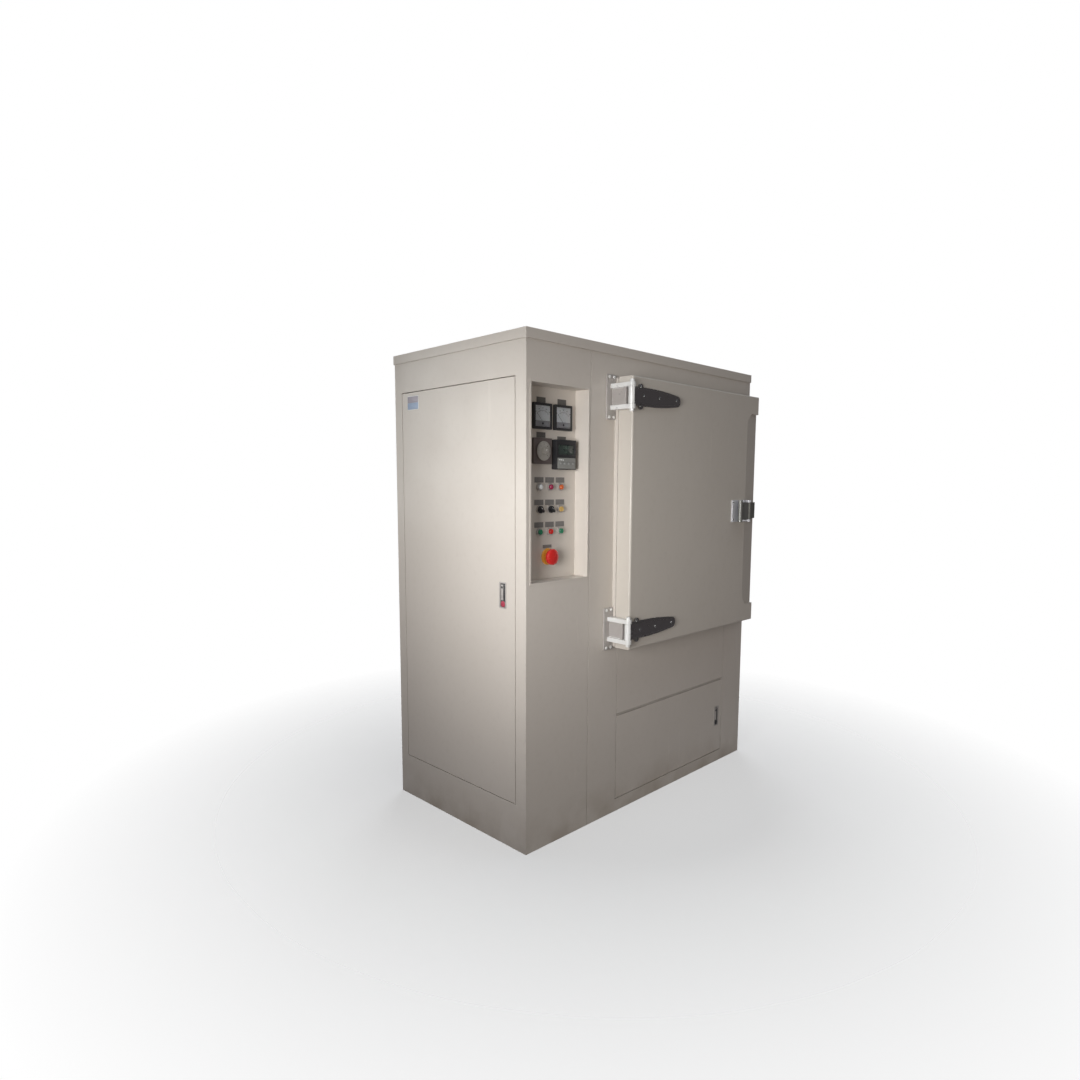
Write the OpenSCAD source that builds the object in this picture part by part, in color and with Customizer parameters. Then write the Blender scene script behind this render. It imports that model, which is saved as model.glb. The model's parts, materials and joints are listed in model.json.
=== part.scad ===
// Hot air circulation oven: a floor-standing sheet-metal cabinet with an insulated chamber behind a
// chrome-hinged door, and a control column whose instruments sit in a recess.
// Every piece is placed in cabinet coordinates: x from the left side, y from the front face inwards
// (negative in front of it) and z from the floor. in_cabinet() centres that on the footprint.

/* [Cabinet] */
// Width of the cabinet
body_w = 1520; // [1400:10:1700]
// Depth of the cabinet
body_d = 800; // [760:10:1000]
// Height from the floor to the top of the cover
body_h = 1900; // [1850:10:2100]
// Thickness of the sheet metal
sheet = 2; // [1.5:0.5:3]
// Depth of the folded edges behind every panel face
fold = 16; // [15:1:20]
// Seam left round an inset door
seam = 3; // [2.5:0.5:4]
// Seam between two fixed panels
joint_gap = 2; // [1:0.5:3]
// Height of the top cover's rim
cover_h = 36; // [24:2:60]
// How far the top cover stands out all round
cover_out = 4; // [2:1:8]
// Length of a louvre in the rear
louvre_l = 180; // [140:10:220]
// How far a louvre's hood stands out
louvre_out = 4; // [3:0.5:4]
// Radius of a louvre's hood
louvre_r = 10; // [8:0.5:12]
// Distance from one louvre to the next
louvre_pitch = 22; // [20:1:30]
// Number of louvres in a group
louvre_count = 8; // [4:1:10]
// Width of the flange that the cover rests on
cover_flange = 24; // [18:1:30]
// Height of the base pan's upturned edge
base_h = 50; // [40:2:52]
// Thickness of the base pan
base_t = 3; // [2:0.5:5]
// Side of the square posts under the chamber
post = 40; // [30:2:50]

/* [Control column] */
// Post in front of the control door
front_post = 58; // [50:1:64]
// Post behind the control door
rear_post = 52; // [44:1:60]
// Height of the rail above the control door
top_rail = 124; // [110:2:140]
// Height of the rail under the control door
bottom_rail = 180; // [120:2:200]
// Thickness of the partition between the column and the oven
wall_t = 4; // [2:0.5:6]
// Space between the instruments and the mounting plate, seen from the side
plate_front = 78; // [60:2:120]
// Space between the mounting plate and the rear panel
plate_rear = 104; // [60:2:110]
// Space above and under the mounting plate
plate_end = 332; // [250:2:400]
// Distance of the mounting plate from the partition
plate_off = 22; // [16:1:30]
// Radius of the mounting plate's studs
stud_r = 6; // [4:0.5:8]

/* [Inset doors and locks] */
// Thickness of the inset doors
leaf_t = 15; // [12:0.5:15]
// Overlap of the stop strip behind an inset door
stop_lap = 12; // [8:1:14]
// Radius of the pins that inset doors turn on
leaf_pin_r = 4; // [3:0.5:5]
// Running clearance round a pin
pin_play = 0.05; // [0.02:0.01:0.1]
// Distance of an inset door's pin from its edge
leaf_pin_in = 12; // [11:1:16]
// Depth of an inset door's pin behind its face
leaf_pin_back = 6.5; // [6.5:0.5:7]
// Width of the stiffener inside an inset door
rib_w = 60; // [40:5:80]
// Width of a flush lock
lock_w = 38; // [34:1:42]
// Height of a flush lock
lock_h = 98; // [88:2:110]
// How far a flush lock stands out of its door
lock_out = 1.5; // [1:0.5:2.5]
// Depth of a flush lock behind the door's face
lock_deep = 22; // [18:1:30]
// Rim of a flush lock round its recess
lock_rim = 5; // [4:0.5:6]
// Distance of the control door's lock from that door's free edge
lock_in = 65; // [46:1:70]
// Distance of the access door's lock from that door's free edge
access_lock_in = 45; // [42:1:60]
// Corner radius of a flush lock
lock_r = 4; // [2:0.5:6]

/* [Instrument recess] */
// Distance of the recess from the left side
recess_x = 24; // [23:1:26]
// Panel left between the recess and the column's right edge
recess_side = 13; // [11:1:15]
// Distance of the recess from the cover
recess_top = 144; // [130:2:160]
// Depth of the recess
recess_d = 66; // [60:1:80]
// Width of the rim round the recess
rim_w = 7; // [4:0.5:8]
// Thickness of the rim round the recess
rim_t = 1.5; // [1:0.5:2]
// Side of the square meters and the timer
meter_side = 94; // [90:1:96]
// How much smaller an instrument's body is than its bezel, all round
bezel_lap = 3; // [2:0.5:5]
// Distance of the left meter's centre from the recess's left wall
meter_left = 113.5; // [100:0.5:124]
// Distance of the right meter's centre from the recess's right wall
meter_right = 77.5; // [70:0.5:90]
// Gap between the two meters
meter_gap = 16; // [14:1:20]
// Distance of the meter centres from the top of the recess
meter_drop = 107; // [96:1:120]
// Gap between the left meter and the timer under it
timer_gap = 32; // [28:1:38]
// Corner radius of the instruments
meter_r = 3; // [1:0.5:5]
// How far a meter stands out of the panel
meter_out = 12; // [8:1:16]
// Depth of the instruments behind the panel
meter_back = 70; // [50:2:90]
// Depth of the sunk dial window in an instrument
window_in = 4; // [2:0.5:6]
// Frame left round the dial window
window_rim = 9; // [6:0.5:12]
// Radius of the timer's round dial
timer_dial_r = 36; // [30:1:40]
// Height of the timer's dial above its bezel
timer_dial_t = 5; // [3:0.5:8]
// Width of the temperature controller
controller_w = 106; // [100:1:110]
// Height of the temperature controller
controller_h = 110; // [104:1:114]
// How far the temperature controller stands out
controller_out = 27; // [20:1:32]
// How far the controller hangs under the timer's centre
controller_sag = 11; // [8:1:14]
// Width of a key on the controller
key_w = 14; // [10:1:16]
// Height of a key on the controller
key_h = 9; // [6:0.5:12]
// How far a key stands out
key_out = 1.5; // [1:0.5:2]

/* [Push buttons and lamps] */
// Distance of the first device column from the recess's left wall
device_left = 104; // [90:1:116]
// Distance between the device columns
device_pitch = 56; // [52:1:60]
// Distance of the lamp row under the controller
lamp_under = 65; // [56:1:74]
// Distance between the device rows
row_pitch = 83; // [78:1:86]
// Outer radius of a device's bezel ring
bezel_r = 14.5; // [13.5:0.5:16]
// How far a bezel ring stands out
bezel_out = 7; // [5:0.5:9]
// Radius of the bore in a bezel
bezel_bore = 10; // [9.5:0.1:10.4]
// Radius of a bezel's barrel through the panel
barrel_r = 11.5; // [11.2:0.1:12]
// Distance of the contact block behind the panel's front
barrel_back = 16; // [15:1:24]
// Side of the contact block on a barrel
block_w = 28; // [24:1:30]
// Height of the contact block on a barrel
block_h = 40; // [34:1:44]
// Length of the contact block on a barrel
block_l = 34; // [28:1:40]
// Side clearance of a cap in its bezel
cap_play = 0.3; // [0.2:0.05:0.4]
// How far a cap reaches into the panel
cap_in = 8; // [6:0.5:9]
// How far a push button stands out of its bezel
button_out = 6; // [5:0.5:8]
// Travel of a push button
button_travel = 4; // [3:0.5:4.5]
// Height of the tapered front of a lamp
dome_h = 4; // [3:0.5:5]
// Radius of a selector's knob
knob_r = 13.5; // [12:0.5:14]
// Thickness of a selector's disc
knob_t = 6; // [5:0.5:7]
// How far a selector's grip bar stands out of its disc
grip_out = 10; // [8:0.5:13]
// Thickness of a selector's grip bar
grip_t = 8; // [6:0.5:10]
// Angle of a selector's grip bar at rest
grip_angle = 45; // [0:5:60]
// Width of a label plate
label_w = 46; // [40:1:50]
// Height of a label plate
label_h = 20; // [14:1:22]
// Height of the low label plates
label_low = 12; // [10:1:14]
// Thickness of a label plate
label_t = 1.5; // [1:0.5:2]
// Gap between a label plate and what it names
label_gap = 1.5; // [1:0.5:3]

/* [Emergency stop] */
// Distance of the stop button from the recess's left wall
stop_left = 148; // [130:1:160]
// Distance of the stop button under the lowest row
stop_drop = 94; // [84:1:104]
// Distance of the stop button above the recess's lower edge
stop_low = 84; // [70:1:100]
// Radius of the yellow base disc
stop_base_r = 31; // [28:1:33]
// Thickness of the yellow base disc
stop_base_t = 7; // [5:0.5:9]
// Radius of the mushroom head
stop_head_r = 30; // [26:1:32]
// Thickness of the mushroom head
stop_head_t = 20; // [16:1:24]
// Radius of the mushroom head's rounded rim
stop_round = 6; // [4:0.5:8]
// Radius of the collar behind the head
stop_neck_r = 17; // [14:1:20]
// Gap between the head and its base
stop_gap = 12; // [11:1:16]
// Travel of the head
stop_travel = 5; // [4:0.5:6]

/* [Chamber] */
// Insulation between the partition and the chamber
lag_left = 197; // [180:1:220]
// Insulation between the chamber and the right side
lag_right = 130; // [115:1:145]
// Space between the chamber and the cover
lag_top = 145; // [130:1:160]
// Insulation behind the chamber
lag_rear = 92; // [80:2:110]
// Insulation under the chamber
lag_floor = 55; // [50:1:55]
// Height of the chamber's floor
mouth_z = 773; // [765:1:790]
// Depth of the air ducts on the chamber's sides
duct_d = 48; // [40:1:56]
// Gap between a duct and the chamber's ends
duct_end = 24; // [16:1:40]
// Rows of air slots in a duct, with a shelf rail between every two rows
slot_rows = 6; // [4:1:8]
// Columns of air slots in a duct
slot_cols = 4; // [2:1:5]
// Length of an air slot
slot_l = 84; // [60:2:90]
// Height of an air slot
slot_h = 14; // [8:1:20]
// Leg of a shelf rail's angle
rail_leg = 22; // [16:1:26]

/* [Oven door] */
// Overlap of the door on the front, all round the mouth
door_lap = 61; // [56:1:66]
// Thickness of the oven door
door_t = 68; // [62:1:74]
// Height of the raised jamb round the mouth
jamb_t = 18; // [16:1:22]
// How much smaller the jamb is than the door, all round
jamb_in = 2; // [1:1:4]
// Thickness of the gasket
gasket_t = 3.7; // [3:0.1:4.5]
// Width of the gasket
gasket_w = 18; // [14:1:22]
// Distance of the gasket from the mouth
gasket_in = 8; // [5:1:12]
// Clearance between the gasket and the door
gasket_gap = 0.3; // [0.2:0.1:0.5]
// Radius of the door's front edges
door_r = 7; // [4:0.5:10]
// Width of the tapered relief along the latch edge
relief_w = 103; // [96:1:116]
// Depth of the relief at the door's edge
relief_d = 14; // [10:1:18]
// Height left full above and below the relief
relief_end = 82; // [70:2:90]
// Slant across the relief's ends
relief_slant = 36; // [24:2:44]
// Gap round the door's inner plug
plug_gap = 20; // [18:1:24]
// How far the plug reaches behind the front face
plug_in = 20; // [14:1:24]
// Height of the raised field on the plug
field_t = 6; // [4:1:8]
// Border round the raised field on the plug
field_in = 70; // [50:5:90]

/* [Door hinges] */
// Distance of the hinge pins from the door's edge
pin_side = 20; // [19:0.5:22]
// Distance of the hinge pins in front of the door's face
pin_front = 11; // [10:0.5:13]
// Radius of the oven door's hinge pins
pin_r = 6; // [5:0.5:7]
// Radius of the hinge knuckles
knuckle_r = 14; // [13:0.5:15]
// Distance of a hinge's middle from the door's upper or lower edge
hinge_in = 78; // [74:1:90]
// Distance between the middles of a hinge's two arms
arm_pitch = 82; // [78:1:88]
// Thickness of a hinge arm
arm_t = 17; // [14:0.5:18]
// Thickness of the web between the arms
web_t = 12; // [8:1:16]
// Depth of the bar that closes the frame between the arms
bar_d = 12; // [9:1:15]
// Radius of the pin's heads
pin_head_r = 9; // [8:0.5:11]
// Height of the pin's heads
pin_head_h = 8; // [6:0.5:10]
// Clearance between a knuckle and the arms
knuckle_gap = 0.4; // [0.3:0.1:0.6]
// Height of a hinge's frame plate
plate_tall = 172; // [160:2:180]
// Width of a hinge's frame plate
plate_wide = 56; // [50:1:60]
// Thickness of a hinge's frame plate
plate_t = 7; // [5:0.5:9]
// Corner radius of a hinge's frame plate
plate_r = 6; // [3:0.5:10]
// Radius of the bolt heads on hinges and latch
bolt_r = 6; // [5:0.5:7]
// Height of the bolt heads
bolt_h = 3; // [2:0.5:4]
// Length of a hinge strap past the door's edge
strap_l = 307; // [290:1:320]
// Height of a hinge strap at its root
strap_root = 72; // [68:2:80]
// Length of the strap's straight part past the door's edge
strap_straight = 82; // [70:2:100]
// Height of a hinge strap at its round tip
strap_tip = 44; // [36:2:50]
// Radius of the two bolt lugs at the strap's root
lug_r = 13; // [11:0.5:15]
// Distance of the lugs from the door's edge
lug_in = 42; // [36:1:60]
// Thickness of a hinge strap's flange
strap_t = 8; // [6:0.5:9]
// Thickness of the raised spine on a strap
spine_t = 6; // [4:0.5:7]
// Border of the strap's flange round the spine
spine_in = 9; // [7:0.5:11]

/* [Door latch] */
// Height of the latch
latch_h = 100; // [92:2:110]
// Distance of the latch's pin in front of the door
latch_pin_out = 30; // [28:1:34]
// Radius of the latch's pin
latch_pin_r = 5; // [4:0.5:6]
// Radius of the latch's barrel
latch_barrel_r = 11; // [10:0.5:12]
// Thickness of the latch's cheeks
cheek_t = 10; // [8:0.5:12]
// Distance of the latch's pin from the relief
latch_in = 18; // [15:1:24]
// How far the latch's plate reaches past the handle's free end
latch_plate_out = 13; // [8:1:18]
// Thickness of the latch's plate
latch_plate_t = 7; // [5:0.5:8]
// Length of the latch handle from its pin
handle_l = 92; // [84:2:98]
// Thickness of the latch handle
handle_t = 11; // [9:0.5:13]
// Radius of the grip on the latch handle's free end
grip_r = 10; // [8:0.5:11]
// How far the grip's middle stands out of the handle's plate
grip_set = 4; // [2:0.5:5]
// Height of the dark tongue in the relief
tongue_h = 76; // [60:2:90]
// Thickness of the dark tongue
tongue_t = 10; // [7:0.5:12]
// Distance of the tongue from the relief's start
tongue_in = 6; // [4:1:12]
// Distance of the keeper from the door's edge
keeper_gap = 8; // [6:0.5:12]
// Width of the keeper's foot
keeper_w = 32; // [28:1:38]
// Height of the keeper's foot
keeper_h = 100; // [80:2:110]
// Thickness of the keeper's foot
keeper_t = 6; // [4:0.5:8]
// How far the keeper stands out of the front
keeper_out = 50; // [40:1:54]

/* [Lower front] */
// Distance of the access door from the column
lower_left = 182; // [175:1:190]
// Distance of the access door from the right side
lower_right = 175; // [168:1:184]
// Height of the access door's lower edge
access_z = 56; // [56:1:60]
// Height of the access door
access_h = 356; // [340:2:370]
// Distance of the fixed lower panel's top edge under the oven door
panel_drop = 12; // [10:1:20]

/* [Hidden] */
$fn = 48;
// Overlap that welds two shapes of one solid, and overshoot of a cut
weld = 0.5;
// Gap left between two slanted faces that rest on each other
seat = 0.02;
// Colours
paint = [0.74, 0.71, 0.66];
steel = [0.72, 0.73, 0.74];
zinc = [0.6, 0.61, 0.62];
chrome = [0.82, 0.83, 0.85];
black = [0.12, 0.12, 0.13];
magenta = [0.62, 0.1, 0.3];
amber = [0.85, 0.35, 0.1];
// Top of the walls, which the cover rests on
wall_h = body_h - cover_h;
// Instrument recess and the control column round it
recess_w = meter_left + meter_side + meter_gap + meter_right;
column_w = recess_x + recess_w + recess_side;
meter_x = [recess_x + meter_left, recess_x + meter_left + meter_side + meter_gap];
meter_z = wall_h - recess_top - meter_drop;
timer_z = meter_z - meter_side - timer_gap;
controller_z = timer_z - controller_sag;
device_x = [for (i = [0 : 2]) recess_x + device_left + i * device_pitch];
device_z = [for (i = [0 : 2]) controller_z - controller_h / 2 - lamp_under - i * row_pitch];
stop_x = recess_x + stop_left;
stop_z = device_z[2] - stop_drop;
recess_z = stop_z - stop_low;
recess_h = wall_h - recess_top - recess_z;
panel_back = recess_d + sheet;
body_side = meter_side - 2 * bezel_lap;
cap_r = bezel_bore - cap_play;
bore_d = bezel_out + cap_in + button_travel + 2;
// Left side of the oven part behind the partition
oven_x = column_w + wall_t;
// Chamber mouth
mouth_x = oven_x + lag_left;
mouth_w = body_w - lag_right - mouth_x;
mouth_h = wall_h - lag_top - mouth_z;
liner_d = body_d - lag_rear - fold;
// Insulated box
shell_y = fold + sheet;
shell_w = body_w - oven_x - fold - sheet;
shell_d = body_d - shell_y - fold - sheet;
shell_z = mouth_z - lag_floor;
shell_h = wall_h - fold - shell_z;
// Air ducts
duct_y = 2 * fold + duct_end;
duct_w = liner_d - sheet - duct_y - duct_end;
duct_z = mouth_z + sheet + duct_end;
duct_h = mouth_h - 2 * sheet - 2 * duct_end;
duct_x = [mouth_x + sheet + duct_d, mouth_x + mouth_w - sheet - duct_d];
// Oven door
door_x = mouth_x - door_lap;
door_w = mouth_w + 2 * door_lap;
door_z = mouth_z - door_lap;
door_h = mouth_h + 2 * door_lap;
door_front = -(jamb_t + gasket_t + gasket_gap + door_t);
door_back = door_front + door_t;
relief_x = door_x + door_w - relief_w;
// Control door, inset in the left side
leaf_w = body_d - front_post - rear_post;
leaf_h = wall_h - top_rail - bottom_rail;
leaf_pin_y = front_post + leaf_w - leaf_pin_in;
control_lock_at = [front_post + lock_in, bottom_rail + leaf_h / 2];
// Access door and the fixed panel above it
lower_x = column_w + lower_left;
lower_w = body_w - lower_right - lower_x;
access_pin_x = lower_x + leaf_pin_in;
access_lock_at = [lower_x + lower_w - access_lock_in, access_z + access_h / 2];
lower_panel_z = access_z + access_h + seam + 2 * sheet + joint_gap;
lower_panel_h = door_z - panel_drop - lower_panel_z;
// Oven door hinges
pin_x = door_x - pin_side;
pin_y = door_front - pin_front;
hinge_z = [door_z + hinge_in, door_z + door_h - hinge_in];
knuckle_h = arm_pitch - arm_t - 2 * knuckle_gap;
plate_x = door_x + jamb_in - plate_wide / 2;
// The strap's edges run straight to the bend, then along arcs that meet the round tip without a corner
strap_x = pin_x + knuckle_r + 3;
strap_bend = door_x + strap_straight;
strap_tip_x = door_x + strap_l - strap_tip / 2;
strap_run = strap_tip_x - strap_bend;
strap_drop = (strap_root - strap_tip) / 2;
strap_arc = (strap_run * strap_run + (strap_root * strap_root - strap_tip * strap_tip) / 4) / (2 * strap_drop);
arc_sides = 1440; // so large an arc needs many sides
strap_end = strap_bend + strap_run * strap_arc / (strap_arc - strap_tip / 2);
// Latch
latch_z = door_z + door_h / 2;
latch_pin_x = relief_x - latch_in;
latch_pin_y = door_front - latch_pin_out;
latch_span = latch_h - 2 * cheek_t - 2 * knuckle_gap;

// Moves a piece from cabinet coordinates to the frame centred on the footprint.
module in_cabinet() translate([-body_w / 2, -body_d / 2, 0]) children();

// Turn a panel drawn flat (x across, y up, z into the cabinet) so that it faces one side.
module face_front(y = 0) translate([0, y, 0]) rotate([90, 0, 0]) mirror([0, 0, 1]) children();
module face_left(x = 0) translate([x, 0, 0]) rotate([90, 0, 90]) children();
module face_right(x) translate([x, 0, 0]) rotate([90, 0, 90]) mirror([0, 0, 1]) children();
module face_back(y) translate([0, y, 0]) rotate([90, 0, 0]) children();

module box(at, size) translate(at) cube(size);

// A rectangle with rounded corners, drawn from its centre.
module rounded(w, h, r) {
    square([w - 2 * r, h], center = true);
    square([w, h - 2 * r], center = true);
    for (x = [r - w / 2, w / 2 - r], y = [r - h / 2, h / 2 - r]) translate([x, y]) circle(r);
}

// A ring: a rectangle with the rectangle hole cut out of it, both as [across, up, width, height].
module ring(outer, hole, t) linear_extrude(t) difference() {
    translate([outer[0], outer[1]]) square([outer[2], outer[3]]);
    translate([hole[0], hole[1]]) square([hole[2], hole[3]]);
}

// A rectangle [across, up, width, height] grown by g on every side.
function grown(r, g) = [r[0] - g, r[1] - g, r[2] + 2 * g, r[3] + 2 * g];

// A folded sheet panel: a face of sheet thickness with its edges turned in all round it and round
// each hole. area and the holes are rectangles [across, up, width, height].
module folded(area, depth, holes = []) difference() {
    linear_extrude(depth) panel_outline(area, holes, 0);
    translate([0, 0, sheet]) linear_extrude(depth) panel_outline(area, holes, sheet);
}
module panel_outline(area, holes, inset) difference() {
    translate([area[0] + inset, area[1] + inset]) square([area[2] - 2 * inset, area[3] - 2 * inset]);
    for (h = holes) translate([h[0] - inset, h[1] - inset])
        square([h[2] + 2 * inset, h[3] + 2 * inset]);
}

// A block whose front edges, at low y, are rounded all round and whose back is square.
module soft_block(at, size, r) intersection() {
    translate(at) linear_extrude(size[2]) soft_edge(size[0], size[1], r);
    translate([at[0], at[1], at[2] + size[2]]) rotate([0, 90, 0]) linear_extrude(size[0])
        soft_edge(size[2], size[1], r);
}
module soft_edge(w, d, r) {
    translate([r, 0]) square([w - 2 * r, d]);
    translate([0, r]) square([w, d - r]);
    for (x = [r, w - r]) translate([x, r]) circle(r);
}

// A cylinder along y, from y to y + l.
module rod_in(x, y, z, r, l) translate([x, y, z]) rotate([-90, 0, 0]) cylinder(r = r, h = l);

// Base pan with an upturned edge, and the posts that carry the chamber.
module base_frame() color(zinc) in_cabinet() {
    difference() {
        box([fold, fold, 0], [body_w - 2 * fold, body_d - 2 * fold, base_h]);
        box([fold + sheet, fold + sheet, base_t],
            [body_w - 2 * fold - 2 * sheet, body_d - 2 * fold - 2 * sheet, base_h]);
    }
    for (x = [oven_x, oven_x + shell_w - post], y = [shell_y, shell_y + shell_d - post])
        box([x, y, base_t - weld], [post, post, shell_z - base_t + weld]);
}

// Top cover: a shallow pan turned upside down, with a flange that rests on the walls.
module top_cover() color(paint) in_cabinet() difference() {
    box([-cover_out, -cover_out, wall_h],
        [body_w + 2 * cover_out, body_d + 2 * cover_out, cover_h]);
    box([sheet - cover_out, sheet - cover_out, wall_h + sheet],
        [body_w + 2 * cover_out - 2 * sheet, body_d + 2 * cover_out - 2 * sheet,
            cover_h - 2 * sheet]);
    box([cover_flange, cover_flange, wall_h - weld],
        [body_w - 2 * cover_flange, body_d - 2 * cover_flange, sheet + 2 * weld]);
}

// Stop strip behind one edge of an inset leaf or panel, welded to the folded edge round its hole.
module stop_strip(area) translate([0, 0, fold - weld]) linear_extrude(sheet + weld)
    translate([area[0], area[1]]) square([area[2], area[3]]);

// Hinge pins in the hole's two rails, on the line that an inset leaf turns about.
module leaf_pins(across, hole) for (up = [hole[1] - weld, hole[1] + hole[3] - seam - sheet])
    translate([across, up, leaf_pin_back]) rotate([-90, 0, 0])
        cylinder(r = leaf_pin_r, h = seam + sheet + weld);

// Left side: the frame that the control door closes, with its stop strips and hinge pins.
module side_frame() color(paint) in_cabinet() face_left() {
    hole = grown([front_post, bottom_rail, leaf_w, leaf_h], seam);
    lap = seam + stop_lap;
    folded([sheet, 0, body_d - sheet, wall_h], fold, [hole]);
    stop_strip([hole[0] - sheet, hole[1] - sheet, sheet + lap, hole[3] + 2 * sheet]);
    for (up = [hole[1] - sheet, hole[1] + hole[3] - lap])
        stop_strip([hole[0], up, hole[2] - 3 * leaf_pin_in, sheet + lap]);
    leaf_pins(leaf_pin_y, hole);
}

// Front sheet of the control column, cut out for the recess.
module column_front() color(paint) in_cabinet() difference() {
    union() {
        box([0, 0, 0], [column_w - joint_gap / 2, sheet, wall_h]);
        box([column_w - joint_gap / 2 - sheet, 0, 0], [sheet, fold, wall_h]);
    }
    box([recess_x - sheet, -weld, recess_z - sheet],
        [recess_w + 2 * sheet, sheet + 2 * weld, recess_h + 2 * sheet]);
}

// Recessed tray that holds the instruments, with the cut-outs they pass through.
module recess_tray() color(paint) in_cabinet() difference() {
    area = [recess_x, recess_z, recess_w, recess_h];
    union() {
        box([recess_x - sheet, -rim_t, recess_z - sheet],
            [recess_w + 2 * sheet, panel_back + rim_t, recess_h + 2 * sheet]);
        face_front(-rim_t) ring(grown(area, rim_w), grown(area, -weld), rim_t);
    }
    box([recess_x, -2 * rim_t, recess_z], [recess_w, recess_d + 2 * rim_t, recess_h]);
    for (x = meter_x, z = [meter_z, timer_z])
        box([x - body_side / 2 - weld, recess_d - weld, z - body_side / 2 - weld],
            [body_side + 2 * weld, sheet + 2 * weld, body_side + 2 * weld]);
    for (x = device_x, z = device_z) rod_in(x, recess_d - weld, z, barrel_r, sheet + 2 * weld);
    rod_in(stop_x, recess_d - weld, stop_z, barrel_r, sheet + 2 * weld);
}

// Front of the oven part: the mouth, the hole of the access door and the seat of the lower panel.
module oven_front() color(paint) in_cabinet() face_front() {
    left = column_w + joint_gap / 2;
    access = grown([lower_x, access_z, lower_w, access_h], seam);
    panel = [access[0], lower_panel_z - joint_gap, access[2], lower_panel_h + 2 * joint_gap];
    lap = seam + stop_lap;
    folded([left, 0, body_w - left, wall_h], fold, [[mouth_x, mouth_z, mouth_w, mouth_h], access, panel]);
    stop_strip([access[0] + 3 * leaf_pin_in, access[1] - sheet,
        access[2] - 3 * leaf_pin_in, sheet + lap / 2]);
    stop_strip([access[0] + 3 * leaf_pin_in, access[1] + access[3] - lap,
        access[2] - 3 * leaf_pin_in, sheet + lap]);
    stop_strip([access[0] + access[2] - lap, access[1] - sheet, sheet + lap, access[3] + 2 * sheet]);
    for (x = [panel[0] - sheet, panel[0] + panel[2] - lap])
        stop_strip([x, panel[1] - sheet, sheet + lap, panel[3] + 2 * sheet]);
    leaf_pins(access_pin_x, access);
}

// Fixed panel between the oven door and the access door, seated on its stop strips.
module lower_panel() color(paint) in_cabinet() face_front()
    folded([lower_x - seam + joint_gap, lower_panel_z, lower_w + 2 * seam - 2 * joint_gap,
        lower_panel_h], fold - weld);

module right_panel() color(paint) in_cabinet() face_right(body_w)
    folded([fold, 0, body_d - 2 * fold, wall_h], fold);

// Rear of the cabinet: one panel behind the control column and one behind the oven, with louvres at the
// top and the foot of the control compartment and beside the lower compartment.
module rear_panel() color(paint) in_cabinet() face_back(body_d) {
    left = column_w + joint_gap / 2;
    middle = (fold + left - joint_gap) / 2;
    louvred([[middle, bottom_rail + fold], [middle, wall_h - top_rail - louvre_count * louvre_pitch]])
        folded([fold, 0, left - joint_gap - fold, wall_h], fold);
    louvred([[left + louvre_l, bottom_rail + fold], [body_w - fold - louvre_l, bottom_rail + fold]])
        folded([left, 0, body_w - left, wall_h], fold);
}

// A sheet with louvres pressed out of it, in groups given by their middle across and their lowest louvre.
module louvred(groups) {
    inner = louvre_r - sheet;
    deep = louvre_r - louvre_out;
    difference() {
        children();
        for (g = groups, k = [0:louvre_count - 1])
            box([g[0] - louvre_l / 2 + sheet, g[1] + k * louvre_pitch, -weld],
                [louvre_l - 2 * sheet, sqrt(inner * inner - deep * deep), sheet + 2 * weld]);
    }
    for (g = groups, k = [0:louvre_count - 1]) translate([g[0], g[1] + k * louvre_pitch, deep])
        difference() {
            rod_across(louvre_r, louvre_l);
            rod_across(inner, louvre_l - 2 * sheet);
            box([-louvre_l, -2 * louvre_r, -2 * louvre_r], [2 * louvre_l, 2 * louvre_r, 4 * louvre_r]);
            box([-louvre_l, -louvre_r, sheet - deep], [2 * louvre_l, 2 * louvre_r + weld, 2 * louvre_r]);
        }
}
module rod_across(r, l) translate([-l / 2, 0, 0]) rotate([0, 90, 0]) cylinder(r = r, h = l);

module partition() color(zinc) in_cabinet()
    box([column_w, fold, base_h], [wall_t, body_d - 2 * fold, wall_h - base_h]);

// Mounting plate on studs, on the partition's control side.
module mounting_plate() color(zinc) in_cabinet() face_left(column_w - plate_off) {
    area = [panel_back + meter_back + plate_front, plate_end,
        body_d - plate_rear - panel_back - meter_back - plate_front, wall_h - 2 * plate_end];
    translate([area[0], area[1]]) cube([area[2], area[3], sheet]);
    for (u = [area[0] + post, area[0] + area[2] - post], v = [area[1] + post, area[1] + area[3] - post])
        translate([u, v, sheet - weld]) cylinder(r = stud_r, h = plate_off - sheet + weld);
}

// Insulated box round the chamber.
module chamber_shell() color(zinc) in_cabinet() difference() {
    box([oven_x, shell_y, shell_z], [shell_w, shell_d, shell_h]);
    box([mouth_x, 0, mouth_z], [mouth_w, liner_d, mouth_h]);
}

module chamber_liner() color(steel) in_cabinet() difference() {
    box([mouth_x, 0, mouth_z], [mouth_w, liner_d, mouth_h]);
    box([mouth_x + sheet, -weld, mouth_z + sheet],
        [mouth_w - 2 * sheet, liner_d - sheet + weld, mouth_h - 2 * sheet]);
}

// Air ducts on both sides of the chamber: folded boxes whose face has rows of slots.
module air_ducts() color(steel) in_cabinet() {
    face_right(duct_x[0]) duct();
    face_left(duct_x[1]) duct();
}
module duct() difference() {
    folded([duct_y, duct_z, duct_w, duct_h], duct_d);
    for (i = [0 : slot_cols - 1], j = [0 : slot_rows - 1])
        translate([duct_y + duct_w * (i + 0.5) / slot_cols, duct_z + duct_h * (j + 0.5) / slot_rows, -weld])
            linear_extrude(sheet + 2 * weld) slot_outline();
}
module slot_outline() {
    square([slot_l - slot_h, slot_h], center = true);
    for (x = [-1, 1]) translate([x * (slot_l - slot_h) / 2, 0]) circle(d = slot_h);
}

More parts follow.
